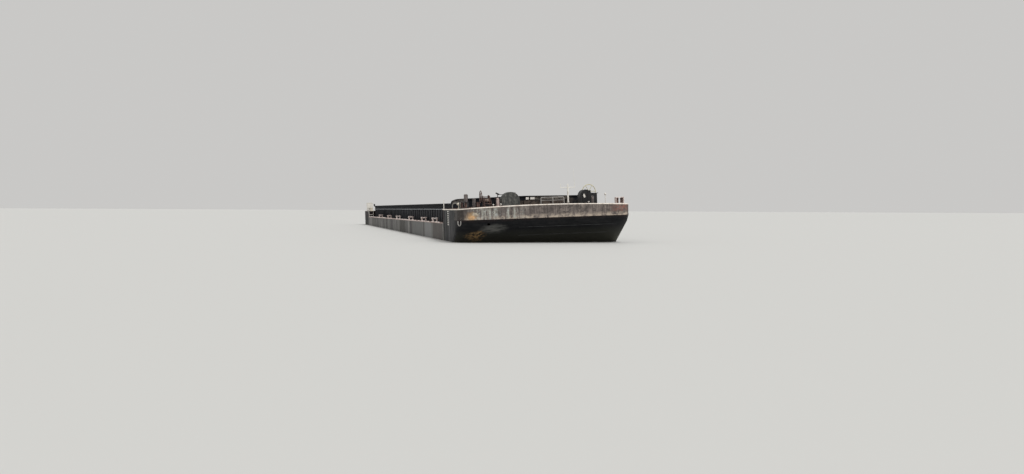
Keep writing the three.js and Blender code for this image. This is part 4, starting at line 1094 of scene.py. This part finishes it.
def make_companion():
    origin = on_deck(FITTING_X, mm(-1695))
    arch = [(565 * math.cos(a), 285 + 565 * math.sin(a)) for a in angles(32)]
    edge = [(565, 30), *arch, (-565, 30)]
    parts = [eased(from_solid("companion_housing"), 6)]
    parts += [bent_bar("rim", origin, [(x, y, z) for y, z in edge], 13) for x in (200, -150, -500)]
    grab = [(-400, 700), (-400, 800), (-360, 818), (20, 818), (60, 800), (60, 700)]
    parts.append(bent_bar("grab_rail", origin, [(x, 330, z) for x, z in grab], 12))
    whole("companion_housing", parts, "hatch_green")
    hinge = JOINT_PLACE["companion_door_swing"]
    foot = Vector((hinge.x - mm(13), hinge.y, origin.z))
    loop = ((0, 75, 130), (0, 75, 620), (0, 590, 620), (0, 590, 130))
    parts = [eased(from_solid("companion_door"), 4), bent_bar("edge", foot, loop, 8, 2, closed=True)]
    whole("companion_door", parts, "hatch_green", body="companion_door")


def make_fairleads():
    profile = [
        (17, 24), (17, 58), (72, 58), (79, 66), (78, 90), (70, 140), (67, 220), (70, 300), (78, 350),
        (79, 374), (72, 382), (17, 382), (17, 434), (13, 438)]
    for (side, name), finish in zip(SIDES, ("bitt_pink", "dark_frame")):
        origin = on_deck(mm(32150), side * mm(5010))
        parts = [eased(from_solid(f"fairlead_{name}"), 7, segments=3)]
        parts += bolts(14, origin, (-90, 90), (-220, 0, 220), 432)
        parts.append(eased(block("pad", at(origin, -180, -320, -20), at(origin, 180, 320, 14)), 5))
        whole(f"fairlead_{name}", parts, finish, "bow_band")
        for place, inner in ((-side * 125, "inner"), (side * 125, "outer")):
            roller = turned("roller", profile, at(origin, 0, place, 0), sides=36)
            whole(f"fairlead_roller_{name}_{inner}", [roller], "winch_rust", body=f"{name}_roller_{inner}")


def make_stern_gear():
    profile = [(125, 10), (125, 345), (132, 360), (152, 370), (156, 382), (150, 398), (110, 412), (50, 420)]
    for side, name in SIDES:
        origin = Vector((mm(-30300), side * mm(4950), STERN_DECK))
        parts = [eased(block("plate", at(origin, -560, -190, 1), at(origin, 560, 190, 26)), 8)]
        for x in (-330, 330):
            foot = at(origin, x, 0, 0)
            parts.append(turned("post", profile, foot, sides=48))
            parts.append(hoop("bead", 128, 13, at(foot, 0, 0, 28), sides=48, section=8))
        parts += bolts(15, origin, (-500, 0, 500), (-150, 150), 28)
        whole(f"stern_bollards_{name}", parts, "chalk", "post_grey")
    for node, finish, body in (
            ("stern_locker_box", "white_paint", "hull"), ("stern_locker_lid", "white_paint", "locker_lid"),
            ("stern_hatch_box", "hatch_green", "hull"), ("stern_hatch_lid", "hatch_green", "hatch_lid")):
        solid_as_piece(node, 5, finish, body=body)


def make_stern_steps():
    """A short ladder from each side deck to the stern deck, its guard hoop and the cheek of the coaming."""
    foot = Vector((STERN_STEP + mm(60), 0, 0))
    for side, name in SIDES:
        parts = [bar("stile", 26, at(foot, 0, side * y, 2800), at(foot, 0, side * y, top), 16)
                 for y, top in ((5440, 3780), (4925, 3600))]
        for z in (2830, 3040, 3560):
            tread = block("tread", at(foot, -35, side * 4925, z - 22), at(foot, 45, side * 5440, z + 22))
            parts.append(eased(tread, 5))
        trim(f"stern_steps_{name}", parts, "white_paint")
        line = [(-1350, 5420, 3460), (-1350, 5420, 3790), (-1290, 5420, 3830), (-70, 5330, 3830),
                (-10, 5330, 3790), (-10, 5330, 3460)]
        cheek = block("cheek", at(foot, 40, side * 4700, 4080), at(foot, 260, side * 4860, 4300))
        guard = [bent_bar("guard", foot, [(x, side * y, z) for x, y, z in line], 24), eased(cheek, 8)]
        trim(f"stern_guard_{name}", guard, "dark_frame", "black_paint")


def make_deck_residue():
    """Pale uneven crusts along the outer edge of each side deck."""
    for side, name in SIDES:
        crusts = []
        for i in range(46):
            spread = [noise.noise(Vector((i * 1.37 + 0.4, side * 3.1, k + 0.21))) for k in range(4)]
            x = -26500 + 1120 * i + 700 * spread[0]
            wide, long, high = 75 + 60 * spread[1], 170 + 260 * abs(spread[2]), 34 + 70 * abs(spread[3])
            deselect_all()
            bpy.ops.mesh.primitive_ico_sphere_add(
                subdivisions=3, radius=1, location=(mm(x), side * mm(5400 - wide), SIDE_DECK - mm(4)),
                scale=(mm(long), mm(wide), mm(high)))
            crust = settle("crust")
            for vertex in crust.data.vertices:
                vertex.co.z += mm(22) * noise.noise(vertex.co * 22)
                vertex.co.x += mm(60) * noise.noise(vertex.co * 14)
            crusts.append(crust)
        trim(f"deck_residue_{name}", crusts, "bitt_pink", "deck_rust", angle=50)


def make_coamings():
    for end in ("port", "starboard", "forward", "aft"):
        solid_as_piece(f"coaming_{end}", 5, "coaming_blue", whole_faces=end in ("forward", "aft"))
    front, aft = BOW_STEP - mm(6), STERN_STEP + mm(6)
    for side, name in SIDES:
        face = side * (HOLD_HALF_WIDTH + mm(128))
        for kind, level, finish in (
                ("rim", COAMING_TOP - mm(84), "coaming_blue"),
                ("stringer_edge", STRINGER + mm(12), "line_grey")):
            rod = bar(kind, 22, (aft, face, level), (front, face, level), 14)
            trim(f"{kind}_{name}", [rod], finish, "coaming_blue")
    solid_as_piece("hold_ladder", 3, "galvanised")
    face = BOW_STEP + mm(100)
    plates = [eased(block("plate", (face, mm(low), mm(4180)), (face + mm(6), mm(high), mm(4333))), 2)
              for low, high in ((136, 349), (446, 739))]
    trim("coaming_plates", plates, "white_paint")


def make_deck_trifles():
    """Small pale caps on pipes, and a lever by the inner post."""
    profile = [(20, -20), (20, 95), (52, 100), (56, 118), (46, 150), (20, 162)]
    caps = [turned("cap", profile, on_deck(mm(x), mm(y)), sides=24)
            for x, y in ((31800, -3084), (31800, -2611), (31500, 3190))]
    trim("sounding_pipe_caps", caps, "white_paint")
    foot = on_deck(FITTING_X, mm(-2517))
    trim("post_lever", [
        bar("lever", 48, at(foot, 0, -110, 835), at(foot, 0, 110, 735), 20),
        bent_bar("handle", foot, ((0, 90, 745), (0, 240, 720), (0, 420, 735)), 20),
        bent_bar("arm", foot, ((0, 0, 520), (0, 0, 765)), 22),
        turned("clamp", [(40, 510), (46, 514), (46, 560), (40, 600), (20, 605)], foot, sides=24),
    ], "dark_frame", "post_grey")


def make_bow_trim():
    """The mooring eye on the starboard corner, the mouth of the hawse hole and the bars on the side."""
    corner = Vector((STEM - mm(330), -HALF_BEAM + mm(30), 0)) + Vector((0.35, -1, 0)).normalized() * mm(34)
    aft = Vector((1, 0.35, 0)).normalized()
    bow = [(170 - 170 * math.cos(a), 2850 - 140 * math.sin(a)) for a in angles(14)]
    eye = [at(corner, 0, 0, z) + aft * mm(x) for x, z in [(0, 3000), *bow, (340, 3000)]]
    trim("bow_corner_eye", [run_of_bar("eye", eye, 26)], "strap", "galvanised")
    tilt = Vector((1, 0, -0.83)).normalized()
    mouth = hoop("mouth", 118, 26, (STEM - mm(258), HAWSE_Y, HAWSE_Z), tilt, 48, 14)
    trim("hawse_mouth", [mouth], "hull_black")
    low, high = -HALF_BEAM - mm(19), -HALF_BEAM + mm(4)
    ticks = [block("tick", (mm(29020), low, mm(z)), (mm(29380), high, mm(z + 62)))
             for z in range(2700, 3700, 120)]
    trim("side_tick_marks", ticks, "white_paint")


# The whole barge

MATERIALS = make_materials()
make_camera()
make_stage()

SLOT_OF_NODE = {row["node"]: row["material_slot"] for row in frame["record"]["subparts"]}
for node_name, node_object in frame["nodes"].items():
    node_object.data.materials.clear()
    node_object.data.materials.append(MATERIALS[SLOT_OF_NODE[node_name]])

for make in (
        make_bow, make_stern, make_sides, make_hold, make_coamings, make_posts, make_cross_bitts,
        make_ventilator, make_air_pipe, make_marker_posts, make_bow_rail, make_mast, make_starboard_winch,
        make_port_winch, make_companion, make_fairleads, make_stern_gear, make_stern_steps,
        make_deck_residue, make_deck_trifles, make_bow_trim):
    make()
